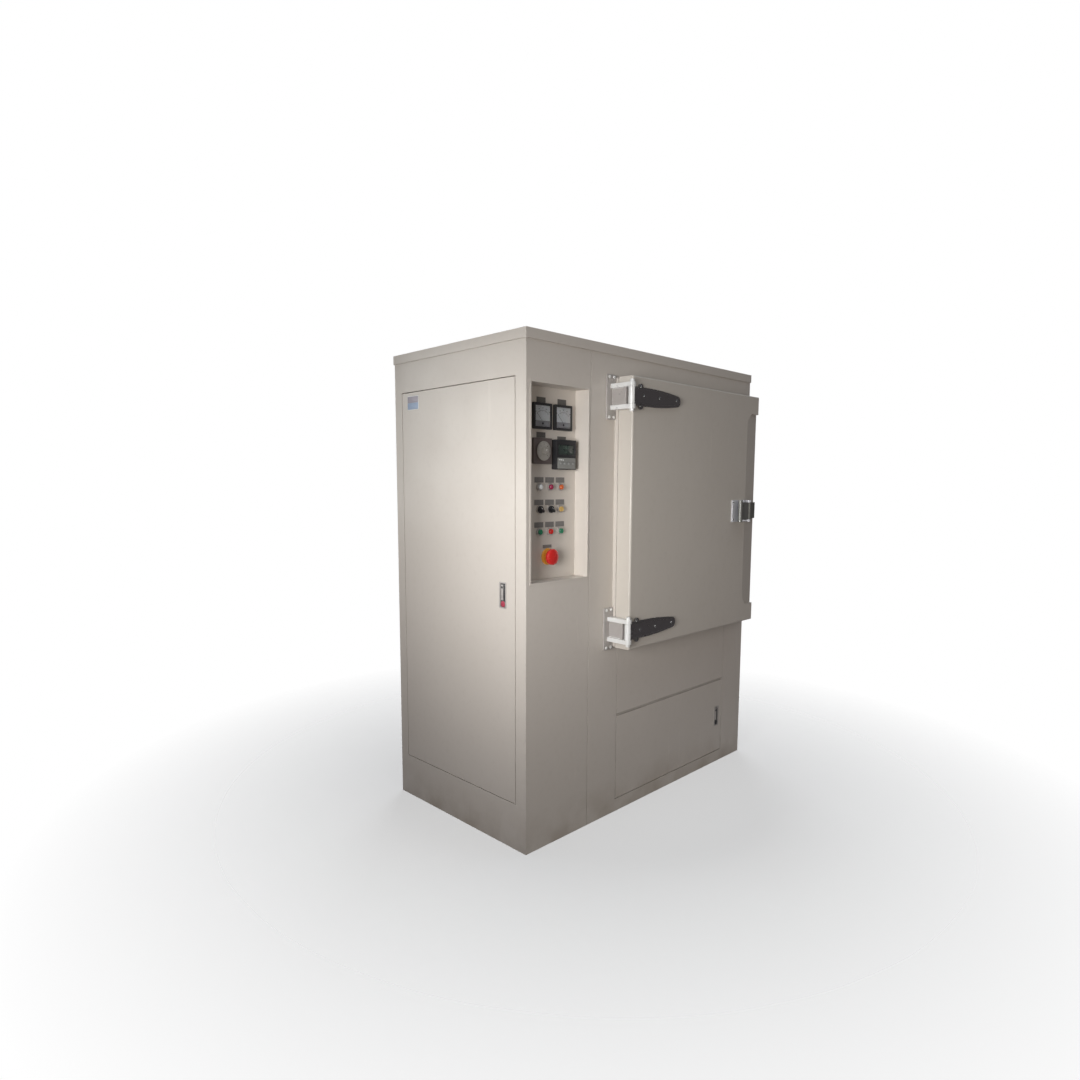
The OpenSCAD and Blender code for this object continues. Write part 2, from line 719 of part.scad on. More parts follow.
// Angle rails that carry shelves, fixed to the duct faces between two rows of slots.
module shelf_rails() color(steel) in_cabinet()
    for (side = [0, 1], j = [1 : slot_rows - 1]) {
        z = duct_z + duct_h * j / slot_rows;
        x = side == 0 ? duct_x[0] : duct_x[1] - rail_leg;
        box([x, duct_y, z], [rail_leg, duct_w, sheet]);
        box([side == 0 ? x : x + rail_leg - sheet, duct_y, z - rail_leg + sheet],
            [sheet, duct_w, rail_leg]);
    }

// Raised jamb round the mouth, and the gasket that the door closes on.
module door_jamb() color(paint) in_cabinet() face_front(-jamb_t)
    ring(grown([door_x, door_z, door_w, door_h], -jamb_in), [mouth_x, mouth_z, mouth_w, mouth_h], jamb_t);

module door_gasket() color(black) in_cabinet() face_front(-jamb_t - gasket_t) {
    hole = grown([mouth_x, mouth_z, mouth_w, mouth_h], gasket_in);
    ring(grown(hole, gasket_w), hole, gasket_t);
}

// A square instrument: a bezel with a sunk window in front of the panel and its body behind it.
// sag is how far the bezel's middle hangs under the body's.
module instrument(x, z, w, h, out, sag = 0) {
    difference() {
        face_front(recess_d - out) linear_extrude(out) translate([x, z - sag])
            rounded(w, h, meter_r);
        children();
    }
    box([x - body_side / 2, recess_d - weld, z - body_side / 2], [body_side, meter_back, body_side]);
}
module window(x, z, w, h, out) box([x - w / 2, recess_d - out - weld, z - h / 2], [w, window_in + weld, h]);

module meters() color(black) in_cabinet() for (x = meter_x)
    instrument(x, meter_z, meter_side, meter_side, meter_out)
        window(x, meter_z, meter_side - 2 * window_rim, meter_side - 2 * window_rim, meter_out);

module timer() color(black) in_cabinet() {
    instrument(meter_x[0], timer_z, meter_side, meter_side, meter_out);
    rod_in(meter_x[0], recess_d - meter_out - timer_dial_t, timer_z, timer_dial_r, timer_dial_t + weld);
}

// Temperature controller: a display window over a row of keys.
module controller() color(black) in_cabinet() {
    win = [controller_w - 2 * window_rim, controller_h / 3];
    instrument(meter_x[1], timer_z, controller_w, controller_h, controller_out, controller_sag)
        window(meter_x[1], controller_z + controller_h / 6, win[0], win[1], controller_out);
    for (i = [-1.5 : 1.5])
        box([meter_x[1] + i * win[0] / 4 - key_w / 2, recess_d - controller_out - key_out,
            controller_z - controller_h / 3], [key_w, key_out + weld, key_h]);
}

// Bare label plates above the instruments and devices.
module label_plates() color(black) in_cabinet() {
    for (x = device_x, z = device_z) label(x, z + bezel_r, label_w, label_h);
    for (x = meter_x) label(x, meter_z + meter_side / 2, label_w, label_h);
    label(meter_x[0], timer_z + meter_side / 2, label_w, label_h);
    label(meter_x[1], controller_z + controller_h / 2, label_w, label_low);
    label(stop_x, stop_z + stop_base_r, label_w, label_low);
}
module label(x, under, w, h)
    box([x - w / 2, recess_d - label_t, under + label_gap], [w, label_t, h]);

// A lamp's lens: a cap seated in its bezel, with a tapered front.
module lamp(x, z) in_cabinet() {
    rod_in(x, recess_d - bezel_out - button_out, z, cap_r, button_out + bore_d);
    translate([x, recess_d - bezel_out - button_out, z]) rotate([90, 0, 0])
        cylinder(r1 = cap_r, r2 = cap_r / 2, h = dome_h);
}
module lamp_white() color("white") lamp(device_x[0], device_z[0]);
module lamp_red() color(magenta) lamp(device_x[1], device_z[0]);
module lamp_amber() color(amber) lamp(device_x[2], device_z[0]);

// Barrel of a device through the panel and its contact block, back behind the panel's front.
module device_back(x, z, w, back) {
    rod_in(x, recess_d - weld, z, barrel_r - pin_play, back + 2 * weld);
    box([x - w / 2, recess_d + back, z - block_h / 2], [w, block_l, block_h]);
}

module device_bezels() color(chrome) in_cabinet() for (x = device_x, z = device_z) difference() {
    union() {
        rod_in(x, recess_d - bezel_out, z, bezel_r, bezel_out);
        device_back(x, z, block_w, barrel_back);
    }
    rod_in(x, recess_d - bezel_out - weld, z, bezel_bore, bore_d + weld);
}

module button(x, z) in_cabinet()
    rod_in(x, recess_d - bezel_out - button_out, z, cap_r, button_out + bezel_out + cap_in);
module button_yellow() color("gold") button(device_x[2], device_z[1]);
module button_green_left() color("seagreen") button(device_x[0], device_z[2]);
module button_red() color("crimson") button(device_x[1], device_z[2]);
module button_green_right() color("seagreen") button(device_x[2], device_z[2]);

// A selector: a round disc with a grip bar across it, turning in its bezel on a stem.
module selector(x, z) color(black) in_cabinet() {
    front = recess_d - bezel_out - cap_play - knob_t;
    rod_in(x, front, z, knob_r, knob_t);
    rod_in(x, front + knob_t - weld, z, cap_r, bezel_out + cap_in);
    translate([x, front, z]) rotate([0, grip_angle, 0])
        soft_block([1 - knob_r, -grip_out, -grip_t / 2], [2 * knob_r - 2, grip_out + weld, grip_t], 2);
}
module selector_left() selector(device_x[0], device_z[1]);
module selector_right() selector(device_x[1], device_z[1]);

module stop_base() color("gold") in_cabinet() difference() {
    union() {
        rod_in(stop_x, recess_d - stop_base_t, stop_z, stop_base_r, stop_base_t);
        device_back(stop_x, stop_z, block_h, barrel_back + stop_travel + 1);
    }
    rod_in(stop_x, recess_d - stop_base_t - weld, stop_z, bezel_bore, bore_d + stop_travel + weld);
}

// Mushroom head of the emergency stop, with its collar and stem.
module stop_head() color("red") in_cabinet()
    translate([stop_x, recess_d - stop_base_t - stop_gap, stop_z]) rotate([90, 0, 0]) {
        rotate_extrude() {
            square([stop_head_r - stop_round, stop_head_t]);
            translate([0, stop_round]) square([stop_head_r, stop_head_t - 2 * stop_round]);
            for (up = [stop_round, stop_head_t - stop_round])
                translate([stop_head_r - stop_round, up]) circle(stop_round);
        }
        mirror([0, 0, 1]) {
            translate([0, 0, -weld]) cylinder(r = stop_neck_r, h = stop_gap - stop_travel - 1 + weld);
            cylinder(r = cap_r, h = stop_gap + stop_base_t + cap_in);
        }
    }

// Frame half of a hinge: a bolted plate, two arms that reach past the door, a web with its front bar,
// and the headed pin.
module hinge_brackets() color(chrome) in_cabinet() for (z = hinge_z) {
    web_front = pin_y + knuckle_r + 4;
    face_front(-plate_t) linear_extrude(plate_t) translate([plate_x, z])
        rounded(plate_wide, plate_tall, plate_r);
    for (s = [-1, 1]) {
        translate([pin_x, 0, z + s * arm_pitch / 2 - arm_t / 2]) {
            box([-knuckle_r, pin_y, 0], [2 * knuckle_r, weld - pin_y - plate_t, arm_t]);
            translate([0, pin_y, 0]) cylinder(r = knuckle_r, h = arm_t);
        }
        for (x = [-1, 1]) bolt(plate_x + x * plate_wide / 4, -plate_t, z + s * (plate_tall / 2 - 1.6 * bolt_r));
    }
    box([pin_x + knuckle_r - web_t - 4, web_front, z - arm_pitch / 2],
        [web_t, weld - plate_t - web_front, arm_pitch]);
    box([pin_x - knuckle_r, web_front, z - arm_pitch / 2], [2 * knuckle_r - 4, bar_d, arm_pitch]);
    translate([pin_x, pin_y, z - arm_pitch / 2]) cylinder(r = pin_r, h = arm_pitch);
    for (s = [-1, 1]) translate([pin_x, pin_y, z + s * (arm_pitch + arm_t + pin_head_h - weld) / 2])
        cylinder(r = pin_head_r, h = pin_head_h + weld, center = true);
}

// A round bolt head that stands out of the face at y.
module bolt(x, y, z) rod_in(x, y - bolt_h, z, bolt_r, bolt_h + weld);

// Door half of a hinge: the bored knuckle, its root, and the strap with two bolt lugs and a raised spine.
module hinge_straps() color(chrome) in_cabinet() for (z = hinge_z) difference() {
    union() {
        translate([pin_x, pin_y, z - knuckle_h / 2]) cylinder(r = knuckle_r, h = knuckle_h);
        box([pin_x, door_front - strap_t - spine_t, z - knuckle_h / 2],
            [strap_x - pin_x + strap_root / 4, strap_t + spine_t, knuckle_h]);
        face_front(door_front - strap_t) linear_extrude(strap_t) {
            strap_outline(z, 0);
            for (s = [-1, 1]) translate([door_x + lug_in, z + s * strap_root / 2]) circle(lug_r);
        }
        face_front(door_front - strap_t - spine_t) linear_extrude(spine_t + weld)
            strap_outline(z, spine_in);
        for (s = [-1, 1]) bolt(door_x + lug_in, door_front - strap_t, z + s * strap_root / 2);
        for (k = [0.2, 0.55, 0.95])
            bolt(strap_x + k * (strap_tip_x - strap_x), door_front - strap_t - spine_t, z);
    }
    translate([pin_x, pin_y, z - arm_pitch / 2]) cylinder(r = pin_r + pin_play, h = arm_pitch);
}
module strap_outline(z, inset) translate([0, z]) {
    translate([strap_x, inset - strap_root / 2]) square([strap_bend - strap_x, strap_root - 2 * inset]);
    intersection() {
        translate([strap_bend - weld, -strap_root / 2]) square([strap_end - strap_bend + weld, strap_root]);
        translate([strap_bend, strap_root / 2 - strap_arc]) circle(strap_arc - inset, $fn = arc_sides);
        translate([strap_bend, strap_arc - strap_root / 2]) circle(strap_arc - inset, $fn = arc_sides);
    }
    translate([strap_tip_x, 0]) circle(strap_tip / 2 - inset);
}

// Keeper beside the door, on the cabinet's front.
module latch_keeper() color(chrome) in_cabinet() {
    x = door_x + door_w + keeper_gap;
    box([x, -keeper_t, latch_z - keeper_h / 2], [keeper_w, keeper_t, keeper_h]);
    box([x, -keeper_out, latch_z - keeper_h / 4], [keeper_w / 2, keeper_out - keeper_t + weld, keeper_h / 2]);
    for (s = [-1, 1]) bolt(x + keeper_w / 2, -keeper_t, latch_z + s * (keeper_h / 2 - 2 * bolt_r));
}

// Oven door's outer shell, with the tapered relief along its latch edge.
module door_shell() color(paint) in_cabinet() difference() {
    soft_block([door_x, door_front, door_z], [door_w, door_t, door_h], door_r);
    intersection() {
        translate([0, 0, door_z]) linear_extrude(door_h) relief_wedge();
        face_front(door_front - weld) linear_extrude(door_t) relief_outline();
    }
}
module relief_wedge() polygon([[relief_x, door_front], [relief_x, door_front - relief_d],
    [relief_x + 2 * relief_w, door_front - relief_d], [relief_x + 2 * relief_w, door_front + 2 * relief_d]]);
module relief_outline() {
    low = door_z + relief_end;
    high = door_z + door_h - relief_end;
    edge = relief_x + relief_w + weld;
    polygon([[relief_x, low + relief_slant], [relief_x + relief_slant, low], [edge, low],
        [edge, high], [relief_x + relief_slant, high], [relief_x, high - relief_slant]]);
}

// Plug on the inside of the oven door, with a raised field.
module door_pan() color(steel) in_cabinet() {
    plug = grown([mouth_x, mouth_z, mouth_w, mouth_h], -plug_gap);
    mid = [plug[0] + plug[2] / 2, plug[1] + plug[3] / 2];
    face_front(door_back) linear_extrude(plug_in - door_back) square_at(plug);
    face_front(plug_in - weld) linear_extrude(field_t + weld) translate(mid)
        rounded(plug[2] - 2 * field_in, plug[3] - 2 * field_in, field_in / 2);
}
module square_at(area) translate([area[0], area[1]]) square([area[2], area[3]]);

// Latch body on the door: a plate with two cheeks, its bolts and the handle's pin.
module latch_base() color(chrome) in_cabinet() {
    left = latch_pin_x - handle_l - latch_plate_out;
    box([left, door_front - latch_plate_t, latch_z - latch_h / 2],
        [relief_x - weld - left, latch_plate_t, latch_h]);
    for (z = [latch_z - latch_h / 2, latch_z + latch_h / 2 - cheek_t]) translate([latch_pin_x, 0, z]) {
        box([-latch_barrel_r, latch_pin_y, 0],
            [2 * latch_barrel_r, latch_pin_out - latch_plate_t + weld, cheek_t]);
        translate([0, latch_pin_y, 0]) cylinder(r = latch_barrel_r, h = cheek_t);
    }
    translate([latch_pin_x, latch_pin_y, latch_z - latch_h / 2 + weld])
        cylinder(r = latch_pin_r, h = latch_h - 2 * weld);
}

// Dark tongue that lies in the relief and reaches the door's edge.
module latch_tongue() color(black) in_cabinet() {
    run = [tongue_in, relief_w - sheet];
    translate([0, 0, latch_z - tongue_h / 2]) linear_extrude(tongue_h)
        polygon([for (side = [0, 1], k = side == 0 ? [0, 1] : [1, 0])
            [relief_x + run[k], door_front + run[k] * relief_d / relief_w - side * tongue_t - seat]]);
}

// Lever that is pulled to release the door: a barrel, a plate and a round grip bar.
module latch_handle() color(chrome) in_cabinet() difference() {
    union() {
        translate([latch_pin_x, latch_pin_y, latch_z - latch_span / 2])
            cylinder(r = latch_barrel_r, h = latch_span);
        box([latch_pin_x - handle_l + grip_r, latch_pin_y - handle_t / 2, latch_z - latch_span / 2],
            [handle_l - grip_r, handle_t, latch_span]);
        translate([latch_pin_x - handle_l + grip_r, latch_pin_y - grip_set, latch_z - latch_h / 2])
            cylinder(r = grip_r, h = latch_h);
    }
    translate([latch_pin_x, latch_pin_y, latch_z - latch_h / 2])
        cylinder(r = latch_pin_r + pin_play, h = latch_h);
}

// Inset leaf: a folded pan with two stiffeners, the cut-out of its lock and the holes of its pins.
module leaf(area, pin_across, lock_at) difference() {
    cut = [lock_at[0] - lock_w / 2 + sheet, lock_at[1] - lock_h / 2 + sheet, lock_w - 2 * sheet,
        lock_h - 2 * sheet];
    union() {
        folded(area, leaf_t, [cut]);
        for (k = [0.3, 0.7])
            translate([area[0] + k * area[2] - rib_w / 2, area[1] + sheet, sheet - weld]) difference() {
                cube([rib_w, area[3] - 2 * sheet, leaf_t - 2 * sheet + weld]);
                translate([sheet, -weld, -weld])
                    cube([rib_w - 2 * sheet, area[3], leaf_t - 3 * sheet + 2 * weld]);
            }
    }
    for (up = [area[1] - weld, area[1] + area[3] - sheet - weld])
        translate([pin_across, up, leaf_pin_back]) rotate([-90, 0, 0])
            cylinder(r = leaf_pin_r + pin_play, h = sheet + 2 * weld);
}

module control_door() color(paint) in_cabinet() face_left()
    leaf([front_post, bottom_rail, leaf_w, leaf_h], leaf_pin_y, control_lock_at);

module access_door() color(paint) in_cabinet() face_front()
    leaf([lower_x, access_z, lower_w, access_h], access_pin_x, access_lock_at);

// Flush lock: a rim on the door's face, a body through the leaf, and a paddle and a push button
// in its recess.
module lock(at) translate([at[0], at[1], 0]) {
    inner = [lock_w - 2 * lock_rim, lock_h - 2 * lock_rim];
    difference() {
        union() {
            translate([0, 0, -lock_out]) linear_extrude(lock_out) rounded(lock_w, lock_h, lock_r);
            linear_extrude(lock_deep) square([lock_w - 2 * sheet, lock_h - 2 * sheet], center = true);
        }
        translate([0, 0, -lock_out - weld]) linear_extrude(lock_out + lock_rim)
            rounded(inner[0], inner[1], lock_r / 2);
    }
    translate([0, lock_rim * 2, 0]) linear_extrude(lock_rim)
        rounded(inner[0] - lock_rim, inner[1] - 6 * lock_rim, lock_r / 2);
    translate([0, 2.2 * lock_rim - inner[1] / 2, 0]) cylinder(r = (inner[0] - lock_rim) / 2, h = lock_rim);
}
module control_lock() color(chrome) in_cabinet() face_left() lock(control_lock_at);
module access_lock() color(chrome) in_cabinet() face_front() lock(access_lock_at);

base_frame();
top_cover();
side_frame();
column_front();
recess_tray();
oven_front();
lower_panel();
right_panel();
rear_panel();
partition();
mounting_plate();
chamber_shell();
chamber_liner();
air_ducts();
shelf_rails();
door_jamb();
door_gasket();
meters();
timer();
controller();
label_plates();
lamp_white();
lamp_red();
lamp_amber();
device_bezels();
selector_left();
selector_right();
button_yellow();
button_green_left();
button_red();
button_green_right();
stop_base();
stop_head();
hinge_brackets();
latch_keeper();
door_shell();
door_pan();
hinge_straps();
latch_base();
latch_tongue();
latch_handle();
control_door();
control_lock();
access_door();
access_lock();
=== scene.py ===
"""Looks of the hot air circulation oven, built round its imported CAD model.

Everything is in metres in the model's own frame: +X to the right seen from the front, +Y to the back,
+Z up. Places come from the boxes of the CAD nodes, and small sizes are given in millimetres as n * MM.
"""

import json
import math

import bmesh
import bpy
from mathutils import Matrix, Vector


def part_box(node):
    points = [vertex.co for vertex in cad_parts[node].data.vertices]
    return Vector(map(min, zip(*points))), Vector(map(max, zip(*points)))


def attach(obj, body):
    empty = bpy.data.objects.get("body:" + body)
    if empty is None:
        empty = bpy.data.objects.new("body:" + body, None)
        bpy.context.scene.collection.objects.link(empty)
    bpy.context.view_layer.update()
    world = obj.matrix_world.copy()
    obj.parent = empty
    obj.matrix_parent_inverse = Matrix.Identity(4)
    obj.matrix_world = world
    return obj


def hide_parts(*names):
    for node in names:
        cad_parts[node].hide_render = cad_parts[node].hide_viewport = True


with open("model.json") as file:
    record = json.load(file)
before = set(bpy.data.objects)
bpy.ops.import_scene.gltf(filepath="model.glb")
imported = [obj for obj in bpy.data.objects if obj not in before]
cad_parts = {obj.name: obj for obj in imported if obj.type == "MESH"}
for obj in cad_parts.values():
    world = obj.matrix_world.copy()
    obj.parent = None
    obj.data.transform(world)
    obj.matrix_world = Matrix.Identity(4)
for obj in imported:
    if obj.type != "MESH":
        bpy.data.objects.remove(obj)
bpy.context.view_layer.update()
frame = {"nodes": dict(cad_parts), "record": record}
NODES = frame["nodes"]
MM = 0.001

# The cabinet's main planes. The rear sheets' louvres stand out past BACK.
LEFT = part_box("side_frame")[0].x
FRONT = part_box("oven_front")[0].y
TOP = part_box("top_cover")[1].z
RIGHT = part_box("right_panel")[1].x
COVER_OUT = 4 * MM
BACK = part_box("top_cover")[1].y - COVER_OUT

# One millimetre out of the front
FORWARD = Vector((0, -1, 0)) * MM

# Turn a shape drawn in x and y with z as its height, so that it faces one side of the cabinet
FACING = {
    "front": Matrix(((1, 0, 0), (0, 0, -1), (0, 1, 0))).to_4x4(),
    "left": Matrix(((0, 0, -1), (-1, 0, 0), (0, 1, 0))).to_4x4(),
    "right": Matrix(((0, 0, 1), (1, 0, 0), (0, 1, 0))).to_4x4(),
    "back": Matrix(((-1, 0, 0), (0, 0, 1), (0, 1, 0))).to_4x4(),
}


def centre(node):
    low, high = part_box(node)
    return (low + high) / 2


def mm(*pairs):
    """Pairs of numbers in millimetres as pairs in metres."""
    return [(a * MM, b * MM) for a, b in pairs]


# Materials


class Paint:
    """A material with one Principled shader, and short calls for the nodes that vary it."""

    def __init__(self, name, color, roughness, metallic=0.0, **sockets):
        self.mat = bpy.data.materials.new(name)
        self.mat.use_nodes = True
        self.tree = self.mat.node_tree
        self.shader = self.tree.nodes["Principled BSDF"]
        self.color = (*color, 1.0)
        self.set("Base Color", self.color)
        self.set("Roughness", roughness)
        self.set("Metallic", metallic)
        for socket, value in sockets.items():
            self.set(socket.replace("_", " ").title().replace("Ior", "IOR"), value)

    def set(self, socket, value):
        self.shader.inputs[socket].default_value = value

    def add(self, kind, **inputs):
        node = self.tree.nodes.new(kind)
        for name, value in inputs.items():
            self.feed(node.inputs[name], value)
        return node

    def feed(self, socket, value):
        if isinstance(value, bpy.types.NodeSocket):
            self.tree.links.new(value, socket)
        else:
            socket.default_value = value

    def place(self, stretch=(1, 1, 1)):
        coords = self.add("ShaderNodeTexCoord").outputs["Object"]
        return self.add("ShaderNodeMapping", Vector=coords, Scale=stretch).outputs["Vector"]

    def noise(self, scale, detail=3.0, stretch=(1, 1, 1), distortion=0.0):
        node = self.add("ShaderNodeTexNoise", Vector=self.place(stretch), Scale=scale, Detail=detail)
        node.inputs["Distortion"].default_value = distortion
        return node.outputs["Fac"]

    def cells(self, scale):
        return self.add("ShaderNodeTexVoronoi", Vector=self.place(), Scale=scale).outputs["Color"]

    def map(self, value, from_low, from_high, low, high):
        node = self.tree.nodes.new("ShaderNodeMapRange")
        for socket, v in zip(node.inputs[:5], (value, from_low, from_high, low, high)):
            self.feed(socket, v)
        return node.outputs["Result"]

    def maths(self, operation, a, b):
        node = self.tree.nodes.new("ShaderNodeMath")
        node.operation = operation
        self.feed(node.inputs[0], a)
        self.feed(node.inputs[1], b)
        return node.outputs["Value"]

    def blend(self, share, a, b):
        node = self.tree.nodes.new("ShaderNodeMix")
        node.data_type = "RGBA"
        self.feed(node.inputs["Factor"], share)
        self.feed(node.inputs[6], a)
        self.feed(node.inputs[7], b)
        return node.outputs[2]

    def tint(self, share, factor):
        """The base colour, going over to itself times factor by share."""
        darker = tuple(c * f for c, f in zip(self.color, (*factor, 1.0)))
        current = self.shader.inputs["Base Color"]
        source = current.links[0].from_socket if current.links else self.color
        self.tree.links.new(self.blend(share, source, darker), current)

    def roughen(self, value):
        self.tree.links.new(value, self.shader.inputs["Roughness"])

    def bump(self, height, distance, strength=1.0):
        node = self.add("ShaderNodeBump", Height=height, Distance=distance, Strength=strength)
        normal = self.shader.inputs["Normal"]
        if normal.links:
            self.tree.links.new(normal.links[0].from_socket, node.inputs["Normal"])
        self.tree.links.new(node.outputs["Normal"], normal)

    def height(self):
        """The height above the floor, in metres."""
        coords = self.add("ShaderNodeTexCoord").outputs["Object"]
        return self.add("ShaderNodeSeparateXYZ", Vector=coords).outputs["Z"]

    def edges(self):
        """1 on the rounded edges of a piece that rounded() has made, 0 on its flat faces."""
        node = self.tree.nodes.new("ShaderNodeAttribute")
        node.attribute_name = "edge"
        return node.outputs["Fac"]


def sheet_paint(name, color):
    """Semi-gloss stoved paint on sheet steel: orange peel, slight waves, scuffs and grime low down."""
    p = Paint(name, color, 0.36, specular_ior_level=0.5, coat_weight=0.12, coat_roughness=0.18)
    p.tint(p.map(p.noise(1.7, 4), 0.35, 0.7, 0.0, 0.55), (0.93, 0.925, 0.915))
    p.tint(p.map(p.noise(38, 6), 0.52, 0.8, 0.0, 0.3), (0.88, 0.87, 0.85))
    # Grime gathers over the lowest hand's width, in patches
    low = p.map(p.height(), 0.0, 0.16, 1.0, 0.0)
    p.tint(p.maths("MULTIPLY", low, p.map(p.noise(9, 5), 0.35, 0.75, 0.0, 0.75)), (0.62, 0.57, 0.5))
    # Hair scuffs that run mostly upright
    scuff = p.map(p.noise(60, 2, (1, 1, 0.05), 0.4), 0.66, 0.7, 0.0, 1.0)
    scuff = p.maths("MULTIPLY", scuff, p.map(p.noise(3.1, 2), 0.55, 0.65, 0.0, 0.4))
    p.tint(scuff, (1.1, 1.1, 1.1))
    worn = p.maths("MULTIPLY", p.edges(), p.map(p.noise(45, 4), 0.55, 0.62, 0.0, 0.8))
    p.tint(worn, (0.6, 0.6, 0.6))
    p.roughen(p.map(p.noise(7, 4), 0.3, 0.7, 0.3, 0.44))
    p.bump(p.noise(2.3, 1), 4 * MM, 0.25)
    p.bump(p.noise(420, 2), 0.25 * MM, 0.22)
    return p.mat


def chrome(name, color=(0.78, 0.79, 0.8), roughness=(0.07, 0.2)):
    """Polished plate with finger smudges and fine pits."""
    p = Paint(name, color, 0.1, 1.0)
    smudge = p.map(p.noise(26, 5), 0.42, 0.66, 0.0, 1.0)
    p.tint(p.maths("MULTIPLY", smudge, 0.5), (0.8, 0.79, 0.77))
    p.tint(p.map(p.noise(260, 2), 0.7, 0.74, 0.0, 0.55), (0.4, 0.37, 0.33))
    p.roughen(p.map(smudge, 0.0, 1.0, *roughness))
    p.bump(p.noise(18, 2), 1.2 * MM, 0.12)
    p.bump(p.noise(500, 3), 0.12 * MM, 0.15)
    return p.mat


def satin(name, color, metallic):
    """Cast zinc with a dull plating: soft sheen, casting ripple, fine pits and handled edges."""
    p = Paint(name, color, 0.34, metallic)
    p.tint(p.map(p.noise(14, 4), 0.4, 0.7, 0.0, 0.6), (0.87, 0.86, 0.84))
    p.tint(p.map(p.noise(210, 2), 0.7, 0.76, 0.0, 0.3), (0.55, 0.52, 0.48))
    p.tint(p.maths("MULTIPLY", p.edges(), p.map(p.noise(60, 3), 0.45, 0.6, 0.0, 0.8)), (1.12, 1.12, 1.12))
    p.roughen(p.map(p.noise(24, 4), 0.35, 0.7, 0.26, 0.42))
    p.bump(p.noise(30, 3), 0.5 * MM, 0.2)
    p.bump(p.noise(420, 3), 0.1 * MM, 0.25)
    return p.mat


def brushed(name, color):
    """Brushed stainless sheet: level grain lines, heat tint in patches."""
    p = Paint(name, color, 0.3, 1.0, anisotropic=0.4)
    lines = p.noise(40, 6, (1, 1, 30))
    p.tint(p.map(lines, 0.3, 0.7, 0.0, 0.5), (0.82, 0.82, 0.82))
    p.tint(p.map(p.noise(2.2, 3), 0.45, 0.75, 0.0, 0.5), (0.98, 0.9, 0.76))
    p.roughen(p.map(lines, 0.3, 0.7, 0.24, 0.4))
    p.bump(lines, 0.15 * MM, 0.3)
    p.bump(p.noise(3, 2), 3 * MM, 0.2)
    return p.mat


def galvanised(name):
    """Zinc-coated sheet with its crystal pattern and white bloom."""
    p = Paint(name, (0.56, 0.575, 0.59), 0.42, 0.9)
    crystal = p.cells(70)
    p.tint(p.map(crystal, 0.2, 0.9, 0.0, 0.7), (0.78, 0.79, 0.8))
    p.tint(p.map(p.noise(12, 4), 0.58, 0.75, 0.0, 0.6), (1.25, 1.25, 1.24))
    p.roughen(p.map(crystal, 0.0, 1.0, 0.32, 0.55))
    p.bump(p.noise(160, 3), 0.2 * MM, 0.25)
    return p.mat


def plastic(name, color, roughness=0.35, grain=300, wear=0.5, **sockets):
    """Moulded plastic: fine texture and dust in patches."""
    p = Paint(name, color, roughness, **sockets)
    dust = p.map(p.noise(55, 4), 0.45, 0.75, 0.0, wear)
    p.tint(dust, (1.18, 1.17, 1.15) if sum(color) < 0.6 else (0.86, 0.85, 0.84))
    p.roughen(p.map(p.noise(90, 3), 0.3, 0.7, roughness * 0.75, roughness * 1.3))
    p.bump(p.noise(grain, 2), 0.08 * MM, 0.3)
    return p.mat


def silicone(name):
    p = Paint(name, (0.62, 0.6, 0.56), 0.62)
    p.tint(p.map(p.noise(30, 5), 0.4, 0.7, 0.0, 0.8), (0.72, 0.68, 0.6))
    p.roughen(p.map(p.noise(60, 3), 0.3, 0.7, 0.5, 0.75))
    p.bump(p.noise(240, 3), 0.2 * MM, 0.4)
    return p.mat


def glass(name):
    p = Paint(name, (1.0, 1.0, 1.0), 0.03, transmission_weight=1.0, ior=1.3)
    p.roughen(p.map(p.noise(70, 4), 0.4, 0.75, 0.01, 0.12))
    return p.mat


